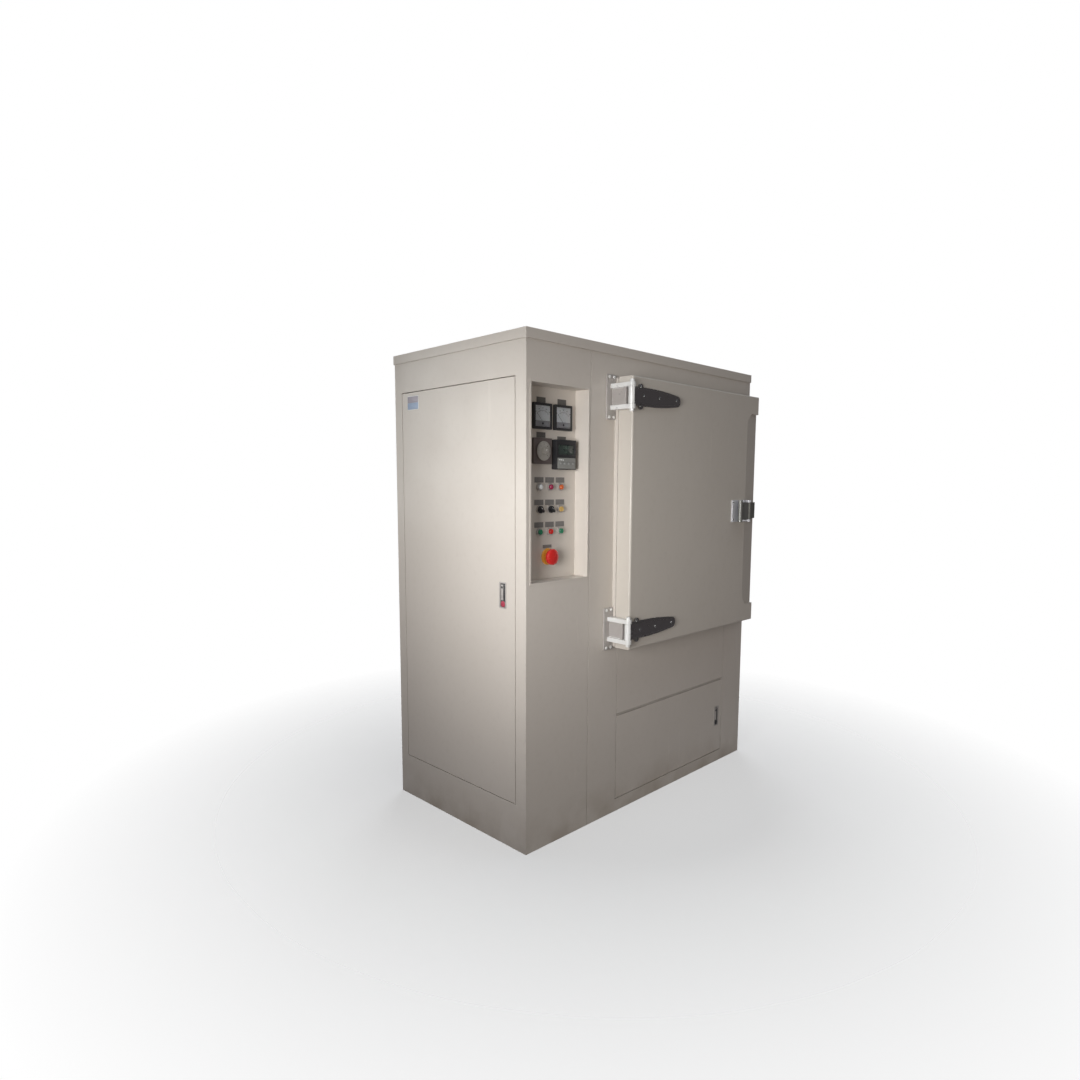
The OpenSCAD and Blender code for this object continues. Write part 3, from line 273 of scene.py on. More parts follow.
M = {
    "paint": sheet_paint("cabinet paint", (0.62, 0.57, 0.515)),
    "door paint": sheet_paint("oven door paint", (0.6, 0.555, 0.495)),
    "chrome": chrome("chrome plate"),
    # Chrome with its colour darkened so the hinge straps and their bolts show the dark reflections of a dim
    # room: painted reflection
    "dark chrome": chrome("chrome with painted dark reflection", (0.34, 0.34, 0.335), (0.16, 0.3)),
    "satin": satin("satin zinc casting", (0.86, 0.86, 0.845), 0.2),
    "cast": satin("grey zinc casting", (0.68, 0.68, 0.71), 0.04),
    "dull": satin("dull zinc plate", (0.46, 0.43, 0.41), 0.15),
    "gunmetal": satin("gunmetal plate", (0.22, 0.22, 0.205), 0.45),
    "steel": chrome("zinc screw", (0.6, 0.6, 0.59), (0.22, 0.38)),
    "stainless": brushed("stainless sheet", (0.62, 0.61, 0.59)),
    "zinc": galvanised("galvanised sheet"),
    "silicone": silicone("silicone gasket"),
    "black": plastic("satin black", (0.022, 0.022, 0.024), 0.38),
    "brown": plastic("brown black", (0.125, 0.102, 0.096), 0.42),
    "graphite": plastic("graphite", (0.14, 0.145, 0.13), 0.42),
    "grey": plastic("grey fascia", (0.24, 0.24, 0.225), 0.42),
    "label": plastic("engraving laminate", (0.11, 0.105, 0.098), 0.45),
    "grey label": plastic("grey laminate", (0.2, 0.188, 0.18), 0.45),
    "pale label": plastic("bare bluish label", (0.36, 0.45, 0.6), 0.4),
    "mauve label": plastic("bare mauve label", (0.42, 0.39, 0.44), 0.4),
    "meter cover": plastic("meter cover", (0.33, 0.33, 0.35), 0.3, wear=0.4, coat_weight=0.3),
    "timer knob": plastic("timer knob", (0.3, 0.28, 0.25), 0.35),
    "key": plastic("rubber key", (0.3, 0.3, 0.29), 0.5),
    "dial": plastic("dial card", (0.75, 0.78, 0.8), 0.5, 200, 0.3),
    "timer dial": plastic("timer dial", (0.36, 0.34, 0.31), 0.42),
    "ink": plastic("printed ink", (0.02, 0.02, 0.022), 0.5),
    "white mark": plastic("white marking", (0.8, 0.8, 0.78), 0.45),
    "display": plastic("display glass", (0.03, 0.042, 0.036), 0.3, 80, 0.25, coat_weight=0.25),
    "digits": plastic("display digits", (0.075, 0.12, 0.095), 0.4),
    "glass": glass("clear window"),
    "white lens": plastic("white lens", (0.78, 0.8, 0.8), 0.16, 120, 0.2, coat_weight=0.5),
    "magenta lens": plastic("magenta lens", (0.32, 0.018, 0.065), 0.16, 120, 0.2, coat_weight=0.6),
    "amber lens": plastic("amber lens", (0.58, 0.105, 0.02), 0.16, 120, 0.2, coat_weight=0.6),
    "yellow": plastic("yellow plastic", (0.82, 0.38, 0.05), 0.3, wear=0.35),
    "straw": plastic("straw plastic", (0.66, 0.43, 0.13), 0.3, wear=0.35),
    "crimson": plastic("crimson plastic", (0.38, 0.05, 0.08), 0.36, wear=0.35),
    "green": plastic("green plastic", (0.02, 0.2, 0.1), 0.26, wear=0.35, coat_weight=0.3),
    "red": plastic("red plastic", (0.6, 0.022, 0.018), 0.24, wear=0.35, coat_weight=0.3),
}

NODE_MATERIALS = {
    "paint": "top_cover side_frame column_front recess_tray oven_front lower_panel right_panel rear_panel "
    "door_jamb control_door access_door",
    "door paint": "door_shell",
    "zinc": "base_frame partition mounting_plate chamber_shell",
    "stainless": "chamber_liner air_ducts shelf_rails door_pan",
    "chrome": "latch_keeper",
    # The straps' darkened chrome is painted dark reflection
    "dark chrome": "hinge_straps",
    "gunmetal": "latch_handle",
    "satin": "hinge_brackets",
    "cast": "latch_base",
    "dull": "control_lock access_lock device_bezels",
    "silicone": "door_gasket",
    "black": "meters controller selector_left selector_right",
    "graphite": "latch_tongue",
    "brown": "timer",
    "label": "label_plates",
    "white lens": "lamp_white",
    "magenta lens": "lamp_red",
    "amber lens": "lamp_amber",
    "straw": "button_yellow",
    "yellow": "stop_base",
    "green": "button_green_left button_green_right",
    "red": "button_red stop_head",
}
BODY_OF = {n: b for b, names in frame["record"]["behaviour"]["bodies"].items() for n in names}

MATERIAL_OF = {node: key for key, names in NODE_MATERIALS.items() for node in names.split()}
for node, key in MATERIAL_OF.items():
    NODES[node].data.materials.clear()
    NODES[node].data.materials.append(M[key])


# Shapes


def finish_piece(name, bm, material, body, angle=35):
    """A bmesh as a finished piece: shaded smooth under the given angle, dressed and riding on a body."""
    bmesh.ops.recalc_face_normals(bm, faces=bm.faces)
    mesh = bpy.data.meshes.new(name)
    for face in bm.faces:
        face.smooth = True
    for edge in bm.edges:
        edge.smooth = len(edge.link_faces) != 2 or edge.calc_face_angle(0) < math.radians(angle)
    for key in [material] if isinstance(material, str) else material:
        mesh.materials.append(M[key])
    bm.to_mesh(mesh)
    bm.free()
    obj = bpy.data.objects.new(name, mesh)
    bpy.context.scene.collection.objects.link(obj)
    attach(obj, body)
    return obj


def vert_place(vert):
    return tuple(vert.co)


def face_place(face):
    return tuple(face.calc_center_median())


def settle(elements, place):
    """Sorts mesh elements by their places, because cutting a mesh leaves them in no fixed order."""
    for rank, element in enumerate(sorted(elements, key=place)):
        element.index = rank
    elements.sort()


def rounded(node, width, segments=2, second=None, is_second=None, cuts=()):
    """Stands for a CAD node: its mesh with the sharp edges rounded by width.

    Its faces are split at the heights in cuts, and those whose centre passes is_second get the second
    material."""
    bm = bmesh.new()
    bm.from_mesh(NODES[node].data)
    bmesh.ops.remove_doubles(bm, verts=bm.verts, dist=0.002 * MM)
    bmesh.ops.dissolve_limit(bm, angle_limit=math.radians(1), verts=bm.verts, edges=bm.edges)
    sharp = [e for e in bm.edges if len(e.link_faces) == 2 and e.calc_face_angle(0) > math.radians(30)]
    mark = bm.faces.layers.int.new("round")
    made = bmesh.ops.bevel(
        bm, geom=sharp, offset=width, segments=segments, profile=0.5, affect="EDGES", clamp_overlap=False
    )
    for face in made["faces"]:
        face[mark] = 1
    share = bm.verts.layers.float.new("edge")
    for vert in bm.verts:
        vert[share] = float(all(f[mark] for f in vert.link_faces))
    for z in cuts:
        whole = [*bm.verts, *bm.edges, *bm.faces]
        bmesh.ops.bisect_plane(bm, geom=whole, plane_co=(0, 0, z), plane_no=(0, 0, 1))
    if cuts:
        settle(bm.verts, vert_place)
        settle(bm.faces, face_place)
    materials = [MATERIAL_OF[node]]
    if second:
        materials.append(second)
    for face in bm.faces:
        face.material_index = int(bool(second) and is_second(face.calc_center_median()))
    piece = finish_piece(f"{node}_finish", bm, materials, BODY_OF[node])
    weight = piece.modifiers.new("even shading", "WEIGHTED_NORMAL")
    weight.keep_sharp = True
    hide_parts(node)


def loops(bm, rings):
    """Joins rings of equally many points by faces, and closes the last ring."""
    rows = [[bm.verts.new(p) for p in ring] for ring in rings]
    count = len(rows[0])
    for a, b in zip(rows, rows[1:]):
        for i in range(count):
            j = (i + 1) % count
            bm.faces.new((a[i], a[j], b[j], b[i]))
    bm.faces.new(rows[-1])


def polar(radius, height, count=48):
    """A ring round the z axis. radius is a number, or a function of the angle."""
    angles = [2 * math.pi * i / count for i in range(count)]
    radii = [radius(a) if callable(radius) else radius for a in angles]
    return [(r * math.cos(a), r * math.sin(a), height) for a, r in zip(angles, radii)]


def turned(profile, count=48):
    """A turned shape from (radius, height) pairs, outside first."""
    bm = bmesh.new()
    loops(bm, [polar(r, h, count) for r, h in profile])
    return bm


def slab(width, height, thick, corner=2 * MM, edge=0.6 * MM, steps=5):
    """A flat plate with round corners and a rounded front edge, its back at height 0."""
    bm = bmesh.new()

    def ring(inset, up):
        points = []
        for qx, qy, start in ((1, 1, 0), (-1, 1, 90), (-1, -1, 180), (1, -1, 270)):
            for k in range(steps):
                a = math.radians(start + 90 * k / (steps - 1))
                r = max(corner - inset, 0.01 * MM)
                cx = qx * (width / 2 - corner)
                cy = qy * (height / 2 - corner)
                points.append((cx + r * math.cos(a), cy + r * math.sin(a), up))
        return points

    levels = [(0.0, 0.0), (0.0, thick - edge), (0.3 * edge, thick - 0.3 * edge), (edge, thick)]
    loops(bm, [ring(inset, up) for inset, up in levels])
    return bm


def cross(arm, width):
    """The outline of a cross recess, as a radius for each angle."""

    def radius(a):
        c, s = sorted((abs(math.cos(a)), abs(math.sin(a))), reverse=True)
        return min(arm / c, width / max(s, 1e-6))

    return radius


def hexagon(inner):
    """The outline of a hexagon recess, as a radius for each angle."""

    def radius(a):
        return inner / math.cos((a % (math.pi / 3)) - math.pi / 6)

    return radius


def screw(radius, high, recess="cross"):
    """A pan-head screw with a cross or hexagon recess, seated at height 0."""
    bm = bmesh.new()
    if recess == "cross":
        hole = cross(0.62 * radius, 0.15 * radius)
    else:
        hole = hexagon(0.45 * radius)
    profile = [(radius, 0), (radius, 0.35 * high), (0.93 * radius, 0.75 * high), (0.72 * radius, high)]
    rings = [polar(r, h, 32) for r, h in profile]
    rings += [polar(hole, high, 32), polar(hole, 0.35 * high, 32)]
    loops(bm, rings)
    return bm


def put(bm, facing, where, spin=0.0):
    """Moves a shape to its place on the cabinet, turned about its own axis by spin degrees first."""
    matrix = Matrix.Translation(where) @ FACING[facing] @ Matrix.Rotation(math.radians(spin), 4, "Z")
    bmesh.ops.transform(bm, matrix=matrix, verts=bm.verts)
    return bm


def gather(parts):
    """Several bmeshes as one."""
    whole = bmesh.new()
    for part in parts:
        mesh = bpy.data.meshes.new("part")
        part.to_mesh(mesh)
        part.free()
        whole.from_mesh(mesh)
        bpy.data.meshes.remove(mesh)
    return whole


# Figures and marks on dials and displays
FIGURE_THICK = 0.12 * MM
FIGURE_TALL = 5 * MM
MARK_WIDE = 0.7 * MM


def digits(text, size):
    """Plain figures as a thin mesh centred on the origin, facing +z."""
    curve = bpy.data.curves.new("figures", "FONT")
    curve.body = text
    curve.size = size
    curve.align_x = "CENTER"
    curve.align_y = "CENTER"
    curve.extrude = FIGURE_THICK / 2
    obj = bpy.data.objects.new("figures", curve)
    bpy.context.scene.collection.objects.link(obj)
    bpy.context.view_layer.update()
    mesh = bpy.data.meshes.new_from_object(obj.evaluated_get(bpy.context.evaluated_depsgraph_get()))
    bm = bmesh.new()
    bm.from_mesh(mesh)
    bmesh.ops.remove_doubles(bm, verts=bm.verts, dist=0.001 * MM)
    bpy.data.objects.remove(obj)
    bpy.data.curves.remove(curve)
    bpy.data.meshes.remove(mesh)
    return bm


def dial_marks(radius, long, short, start, sweep, steps, every):
    """Tick marks on an arc: long ones at every nth step."""
    parts = []
    for i in range(steps + 1):
        tall = long if i % every == 0 else short
        bm = slab(MARK_WIDE, tall, 0.15 * MM, 0.1 * MM, 0.03 * MM, 2)
        a = math.radians(start - sweep * i / steps)
        bmesh.ops.transform(
            bm,
            matrix=Matrix.Rotation(a - math.pi / 2, 4, "Z") @ Matrix.Translation((0, radius - tall / 2, 0)),
            verts=bm.verts,
        )
        parts.append(bm)
    return gather(parts)


def dial_figure(number, radius, angle):
    """An upright number on a dial, at an angle in degrees."""
    bm = digits(str(number), FIGURE_TALL)
    a = math.radians(angle)
    bmesh.ops.translate(bm, vec=(radius * math.cos(a), radius * math.sin(a), 0), verts=bm.verts)
    return bm


# The cabinet's sheet metal and castings, with rounded edges

for node in ("top_cover", "door_jamb"):
    rounded(node, 1.2 * MM)
for node in ("side_frame", "column_front", "oven_front", "lower_panel", "right_panel", "rear_panel"):
    rounded(node, 0.6 * MM)
for node in ("recess_tray", "control_door", "access_door"):
    rounded(node, 0.6 * MM)
for node in ("latch_keeper", "latch_base", "latch_handle"):
    rounded(node, 1.2 * MM, 3)

# The hinges: each bracket casting with painted highlight and shade, a brighter finish on its arms and a
# duller one on its plates and webs; dark straps with a painted highlight in the brighter finish on the lit
# side of their knuckles
HINGE_FROM_END = 86 * MM
PIN_FROM_PLATE_EDGE = 22 * MM
PLATE_TOP = FRONT - 8 * MM
WEB_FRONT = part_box("hinge_straps")[0].y + 15 * MM
WEB_HALF = 32.5 * MM
plates_low, plates_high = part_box("hinge_brackets")
HINGE_HEIGHTS = (plates_low.z + HINGE_FROM_END, plates_high.z - HINGE_FROM_END)
PIN_X = plates_high.x - PIN_FROM_PLATE_EDGE


# Faces of the bracket casting given the duller finish: painted shade on the plates and webs
def is_plate_or_web(at):
    between_arms = min(abs(at.z - z) for z in HINGE_HEIGHTS) < WEB_HALF - 1 * MM
    return at.y > PLATE_TOP or (between_arms and at.y > WEB_FRONT)


# Faces of the straps on the lit side of their knuckles, given the bright finish: painted highlight
def is_bright_knuckle(at):
    return at.x < PIN_X - 1 * MM


arm_edges = [z + side * WEB_HALF for z in HINGE_HEIGHTS for side in (-1, 1)]
rounded("hinge_brackets", 1.2 * MM, 3, "dull", is_plate_or_web, arm_edges)
rounded("hinge_straps", 1.2 * MM, 3, "satin", is_bright_knuckle)
for node in ("meters", "timer", "controller", "latch_tongue"):
    rounded(node, 0.6 * MM)


# Instruments

# Sides of a meter and of its window, and how far a dial or display lies behind the front
METER = 94 * MM
WINDOW = 76 * MM
SUNK = 4 * MM


def needle(length, width, lean):
    """A pointer that starts at the origin and leans from upright, in degrees."""
    bm = bmesh.new()
    half = width / 2
    tail, shoulder = -4 * half, 0.7 * length
    outline = [(-half, tail), (half, tail), (half, shoulder), (0, length), (-half, shoulder)]
    loops(bm, [[(x, y, z) for x, y in outline] for z in (0, 0.5 * MM)])
    bmesh.ops.transform(bm, matrix=Matrix.Rotation(math.radians(lean), 4, "Z"), verts=bm.verts)
    return bm


def meter(side, where):
    """Dial card, scale with plain numbers, needle, lower cover and window of one moving-coil meter."""
    name = f"meter_{side}"
    pivot = Vector((0, 0, -20 * MM))
    low = Vector((0, 0, -WINDOW / 2 + 11 * MM))

    def add(tag, bm, material, lift, offset=Vector(), spin=0.0):
        piece = put(bm, "front", where + offset + lift * FORWARD, spin)
        finish_piece(f"{name}_{tag}", piece, material, "cabinet")

    add("card", slab(WINDOW - 1 * MM, WINDOW - 1 * MM, 0.4 * MM, 1 * MM, 0.1 * MM), "dial", 0)
    start, sweep, figures_r = 135, 90, 48.5 * MM
    scale = [dial_marks(42 * MM, 6 * MM, 3.5 * MM, start, sweep, 20, 5)]
    scale += [dial_figure(100 * i, figures_r, start - sweep * i / 4) for i in range(5)]
    add("scale", gather(scale), "ink", 0.45, pivot)
    add("needle", needle(45 * MM, 0.9 * MM, 44), "ink", 0.9, pivot)
    add("cover", slab(WINDOW - 1 * MM, 21 * MM, 2.2 * MM, 0.5 * MM), "meter cover", 0, low)
    add("trimmer", screw(4 * MM, 1.2 * MM), "ink", 2.1, low, 25)
    add("window", slab(WINDOW - 0.4 * MM, WINDOW - 0.4 * MM, 0.6 * MM, 1 * MM, 0.15 * MM), "glass", 3.1)


meters_low, meters_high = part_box("meters")
for side, left in (("left", meters_low.x), ("right", meters_high.x - METER)):
    meter(side, Vector((left + METER / 2, meters_low.y + SUNK, centre("meters").z)))


def timer():
    """Light dial with a plain scale, a knurled setting knob and its pointer."""
    mid = centre("timer")
    face = Vector((mid.x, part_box("timer")[0].y, mid.z))

    def add(tag, bm, material, lift, spin=0.0):
        piece = put(bm, "front", face + lift * FORWARD, spin)
        finish_piece(f"timer_{tag}", piece, material, "cabinet")

    add("dial", turned(mm((35.4, 0), (35.4, 0.5), (34.6, 0.9))), "timer dial", -0.2)
    start, sweep, figures_r = 225, 270, 23.5 * MM
    scale = [dial_marks(33 * MM, 5 * MM, 3 * MM, start, sweep, 30, 5)]
    scale += [dial_figure(5 * i, figures_r, start - sweep * i / 6) for i in range(7)]
    add("scale", gather(scale), "ink", 0.75)

    def knurled(a):
        return 13 * MM + 0.5 * MM * math.cos(24 * a)

    knob = bmesh.new()
    skirt = mm((15, 0), (15, 1.5))
    top = mm((12, 11), (10.5, 11.2), (10, 10.6))
    outline = [*skirt, (knurled, 2 * MM), (knurled, 10 * MM), *top]
    loops(knob, [polar(r, h, 144) for r, h in outline])
    add("knob", knob, "timer knob", 0.5)
    line = slab(1.6 * MM, 9 * MM, 0.3 * MM, 0.4 * MM, 0.1 * MM)
    bmesh.ops.translate(line, vec=(0, 4.5 * MM, 0), verts=line.verts)
    add("pointer", line, "white mark", 11.0, -38)


timer()


def controller():
    """Display with its digits, grey key field and status lamps of the temperature controller."""
    low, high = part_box("controller")
    mid = (low + high) / 2
    fascia = low.y + 1.5 * MM
    window = Vector((mid.x, fascia + SUNK, mid.z + 18.3 * MM))

    def add(tag, bm, material, where, lift=0.0, spin=0.0):
        piece = put(bm, "front", where + lift * FORWARD, spin)
        finish_piece(f"controller_{tag}", piece, material, "cabinet")

    add("display", slab(87 * MM, 35.7 * MM, 1.0 * MM, 1.5 * MM, 0.2 * MM), "display", window)
    upper = Vector((0, 0, 8.5 * MM))
    add("value", digits("120.0", 16 * MM), "digits", window + upper, 1.05)
    add("target", digits("120", 9.5 * MM), "digits", window - upper, 1.05)
    key_field = Vector((mid.x, fascia, low.z + 23 * MM))
    add("key_field", slab(98 * MM, 40 * MM, 0.6 * MM, 2 * MM, 0.2 * MM), "grey", key_field)
    for i in range(3):
        spot = Vector((low.x + 16 * MM + 9 * MM * i, fascia, low.z + 35 * MM))
        lens = turned(mm((2.2, 0), (2.2, 1), (1.4, 1.6)), 20)
        add(f"lamp_{i + 1}", lens, "white mark", spot, 0.4)
    for i in range(4):
        key = Vector((mid.x + (i - 1.5) * 22 * MM, fascia, low.z + 22.5 * MM))
        add(f"key_{i + 1}", slab(13.4 * MM, 8.4 * MM, 1.0 * MM, 1.2 * MM, 0.4 * MM), "key", key, 1.1)
        mark = slab(4 * MM, 0.8 * MM, 0.1 * MM, 0.1 * MM, 0.02 * MM, 2)
        add(f"key_mark_{i + 1}", mark, "white mark", key, 2.1, (0, 90, 45, 135)[i])


controller()


def cap(node, profile, material, count=64):
    """A turned cap that stands for a round CAD piece. The profile counts back from the piece's front."""
    low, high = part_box(node)
    mid = centre(node)
    depth = high.y - low.y
    bm = turned([(r, depth - back) for r, back in profile], count)
    piece = finish_piece(
        f"{node}_cap", put(bm, "front", (mid.x, high.y, mid.z)), material, BODY_OF[node], 50
    )
    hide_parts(node)


def radius_of(node):
    low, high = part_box(node)
    return (high.x - low.x) / 2


def quarter(r, wide, high, last, step):
    """Profile of a rounded edge on a cap of radius r: a quarter ellipse, from its foot to last degrees."""
    angles = [math.radians(a) for a in range(0, last, step)]
    return [(r - wide * (1 - math.cos(a)), high * (1 - math.sin(a))) for a in angles]


LENSES = {"lamp_white": "white lens", "lamp_red": "magenta lens", "lamp_amber": "amber lens"}
for node, material in LENSES.items():
    r = radius_of(node)
    dome = quarter(r, r, 5 * MM, 85, 7)
    groove = [(r, 31 * MM), (r, 12 * MM), (0.93 * r, 11 * MM), (0.93 * r, 9.5 * MM), (r, 8.5 * MM)]
    cap(node, groove + dome, material)

for node, material in (
    ("button_yellow", "straw"),
    ("button_green_left", "green"),
    ("button_red", "red"),
    ("button_green_right", "green"),
):
    r = radius_of(node)
    edge = quarter(r, 1.2 * MM, 1.2 * MM, 91, 15)
    dish = [(r * k, 0.9 * MM * (1 - k * k)) for k in (0.75, 0.55, 0.35, 0.15)]
    cap(node, [(r, 21 * MM), *edge, *dish], material)

# Mushroom head: the CAD node's outline with a softly domed top, a grip ring and a turned edge
head_r = radius_of("stop_head")
neck = mm((9.5, 47), (9.5, 26), (17, 26), (17, 20))
turns = [math.radians(a) for a in range(0, 91, 15)]
skirt = [(head_r - 6 * MM * (1 - math.sin(a)), 14 * MM + 6 * MM * math.cos(a)) for a in turns]
cap("stop_head", [*neck, *skirt, *quarter(head_r, head_r, 7 * MM, 86, 5)], "red")
rounded("stop_base", 1.5 * MM, 3)
for node in ("selector_left", "selector_right"):
    rounded(node, 0.5 * MM)
    mid = centre(node)
    mark = slab(1.6 * MM, 8 * MM, 0.25 * MM, 0.5 * MM, 0.1 * MM)
    bmesh.ops.translate(mark, vec=(0, 6.5 * MM, 0), verts=mark.verts)
    front_of = Vector((mid.x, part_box(node)[0].y + 0.05 * MM, mid.z))
    put(mark, "front", front_of, 45)
    finish_piece(f"{node}_mark", mark, "white mark", BODY_OF[node])
ROW_LABELS_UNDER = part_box("controller")[0].z


def is_row_label(at):
    return at.z < ROW_LABELS_UNDER


rounded("device_bezels", 0.35 * MM)
rounded("label_plates", 0.35 * MM, 2, "grey label", is_row_label)


# Screws, labels and locks


def screws(name, places, facing, body, slot, radius=4 * MM, high=2 * MM, recess="cross", material="steel"):
    """One piece with a screw at each place; each is turned a little differently."""
    heads = []
    for i, where in enumerate(places):
        heads.append(put(screw(radius, high, recess), facing, where, 37 * i + 11))
    finish_piece(name, gather(heads), material, body)


HEX_HEAD = (6.2 * MM, 3.2 * MM, "hex")


def hinge_bolts():
    """Socket heads over the bolts of the frame plates and the straps, and the pins' turned ends."""
    straps_low, straps_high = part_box("hinge_straps")
    # Seats of the heads: a little under the faces they stand on
    plate_y = FRONT - 7 * MM
    pin_y = straps_low.y + 14 * MM
    spine_y = straps_low.y + 11 * MM
    flange_y = straps_low.y + 17 * MM
    tip_x = straps_high.x - 22 * MM
    root_x = PIN_X + 17 * MM
    on_plates, on_straps, ends = [], [], []
    for z in HINGE_HEIGHTS:
        for side in (-1, 1):
            for x in (-14 * MM, 14 * MM):
                on_plates.append((plates_low.x + 28 * MM + x, plate_y, z + side * 76.4 * MM))
            on_straps.append((PIN_X + 62 * MM, flange_y, z + side * 36 * MM))
            ends.append((PIN_X, pin_y, z + side * 57.4 * MM, side))
        on_straps += [(root_x + k * (tip_x - root_x), spine_y, z) for k in (0.2, 0.55, 0.95)]
    screws("hinge_plate_bolts", on_plates, "front", "cabinet", "chrome_plate", *HEX_HEAD, "satin")
    screws("hinge_strap_bolts", on_straps, "front", "oven_door", "chrome_plate", *HEX_HEAD, "dark chrome")
    caps = []
    for x, y, z, side in ends:
        bm = turned(mm((9, 0), (9, 1), (7.5, 2.4), (3, 3.2), (1, 3.3)), 32)
        if side < 0:
            bmesh.ops.transform(bm, matrix=Matrix.Rotation(math.pi, 4, "X"), verts=bm.verts)
        bmesh.ops.translate(bm, vec=(x, y, z), verts=bm.verts)
        caps.append(bm)
    finish_piece("hinge_pin_ends", gather(caps), "satin", "cabinet")


def latch_screws():
    """Screws in the corners of the latch's plate, and socket heads in its keeper."""
    low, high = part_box("latch_base")
    plate_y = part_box("door_shell")[0].y - 7 * MM
    places = [(low.x + x * MM, plate_y, z) for x in (8, 60) for z in (low.z + 11 * MM, high.z - 11 * MM)]
    screws("latch_screws", places, "front", "oven_door", "chrome_plate", 4 * MM, 1.6 * MM)
    mid = centre("latch_keeper")
    places = [(mid.x, FRONT - 6 * MM, mid.z + side * 38 * MM) for side in (-1, 1)]
    screws("keeper_bolts", places, "front", "cabinet", "chrome_plate", *HEX_HEAD, "satin")


def lock(node, facing, outward, button_material):
    """Paddle, grip and push button in the recess of a flush lock, with a black slab on the recess floor and
    a black strip beside the paddle as painted shade.
    """
    mid = centre(node)
    face = Vector((LEFT, mid.y, mid.z)) if facing == "left" else Vector((mid.x, FRONT, mid.z))
    sideways = outward.cross(Vector((0, 0, 1))) * MM

    def add(tag, bm, material, up, offset=Vector()):
        where = face + Vector((0, 0, up)) + offset
        finish_piece(f"{node}_{tag}", put(bm, facing, where), material, BODY_OF[node])

    # Black slab on the recess floor: painted shade of the recess
    add("painted_shade", slab(27 * MM, 87 * MM, 0.2 * MM, 1.5 * MM, 0.05 * MM), "black", 0, -3.4 * MM * outward)
    paddle = 4.4 * sideways
    add("paddle", slab(13.4 * MM, 57.4 * MM, 0.9 * MM, 2 * MM, 0.5 * MM), "dull", 10 * MM, paddle)
    # Black strip beside the paddle: painted shadow cast into the recess by its near wall
    add("strip", slab(8.6 * MM, 57.4 * MM, 0.4 * MM, 1 * MM, 0.2 * MM), "black", 10 * MM, -6.9 * sideways)
    above = paddle + 0.8 * MM * outward
    add("grip", slab(9 * MM, 8 * MM, 0.7 * MM, 1.5 * MM, 0.3 * MM), "black", 29 * MM, above)
    button = turned(mm((11.3, 0), (11.3, 0.6), (10.2, 1.3), (5, 1.5), (1, 1.55)), 40)
    add("button", button, button_material, -33 * MM)


def side_label():
    """Bare two-tone label in the upper corner of the control door. It carries no writing."""
    door_low, door_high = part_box("control_door")
    mid = Vector((door_low.x, door_high.y - 76 * MM, door_high.z - 42 * MM))
    outward = Vector((-1, 0, 0)) * MM
    card = put(slab(78 * MM, 57 * MM, 0.4 * MM, 3 * MM, 0.15 * MM), "left", mid)
    finish_piece("side_label_card", card, "white mark", "control_door")
    for tag, height, up, material in (("upper", 25, 13, "mauve label"), ("lower", 26, -13, "pale label")):
        where = mid + Vector((0, 0, up * MM)) + 0.35 * outward
        band = put(slab(73 * MM, height * MM, 0.2 * MM, 1 * MM, 0.05 * MM), "left", where)
        finish_piece(f"side_label_{tag}", band, material, "control_door")


def panel_screws():
    """Self-tapping screws round the rear and the right-hand panels."""
    rear_low, rear_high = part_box("rear_panel")
    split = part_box("oven_front")[0].x
    inset = 40 * MM
    rows = [rear_low.z + inset + i * (rear_high.z - rear_low.z - 2 * inset) / 5 for i in range(6)]
    columns = (LEFT + 32 * MM, split - 14 * MM, split + 14 * MM, RIGHT - 22 * MM)
    places = [(x, BACK, z) for z in rows for x in columns]
    for z in (rows[0], rows[-1]):
        places += [(split + k * (RIGHT - split), BACK, z) for k in (0.35, 0.68)]
        places.append(((LEFT + split) / 2, BACK, z))
    screws("rear_screws", places, "back", "cabinet", "cabinet_paint", 5 * MM, 2.4 * MM)
    side_low, side_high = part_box("right_panel")
    places = [(RIGHT, y, z) for z in rows for y in (side_low.y + 14 * MM, side_high.y - 14 * MM)]
    places += [(RIGHT, centre("right_panel").y, z) for z in (rows[0], rows[-1])]
    screws("side_screws", places, "right", "cabinet", "cabinet_paint", 5 * MM, 2.4 * MM)


hinge_bolts()
latch_screws()
lock("control_lock", "left", Vector((-1, 0, 0)), "crimson")
lock("access_lock", "front", Vector((0, -1, 0)), "black")
side_label()
panel_screws()


# Floor, light and camera


def area(name, where, target, size, power, spread, color=(1.0, 1.0, 1.0)):
    """A square soft light at where, turned to target. A small spread keeps it to a narrow field."""
    light = bpy.data.lights.new(name, "AREA")
    light.shape = "SQUARE"
    light.size = size
    light.energy = power
    light.spread = spread
    light.color = color
    obj = bpy.data.objects.new(name, light)
    obj.location = where
    obj.rotation_euler = (Vector(target) - Vector(where)).to_track_quat("-Z", "Y").to_euler()
    bpy.context.scene.collection.objects.link(obj)


def make_floor():
    """A pale floor that fades into the white backdrop a few metres from the oven."""
    bm = bmesh.new()
    bmesh.ops.create_grid(bm, x_segments=8, y_segments=8, size=8.0)
    mesh = bpy.data.meshes.new("floor")
    bm.to_mesh(mesh)
    bm.free()
    floor = bpy.data.objects.new("floor", mesh)
    bpy.context.scene.collection.objects.link(floor)
    p = Paint("pale floor", (0.93, 0.93, 0.93), 0.6)
    p.tint(p.map(p.noise(2, 3), 0.4, 0.7, 0.0, 0.3), (0.97, 0.97, 0.97))
    p.roughen(p.map(p.noise(8, 3), 0.3, 0.7, 0.5, 0.7))
    coords = p.add("ShaderNodeTexCoord").outputs["Object"]
    away = p.tree.nodes.new("ShaderNodeVectorMath")
    away.operation = "LENGTH"
    p.feed(away.inputs[0], coords)
    p.feed(p.shader.inputs["Alpha"], p.map(away.outputs["Value"], 0.9, 2.3, 0.55, 0.0))
    mesh.materials.append(p.mat)


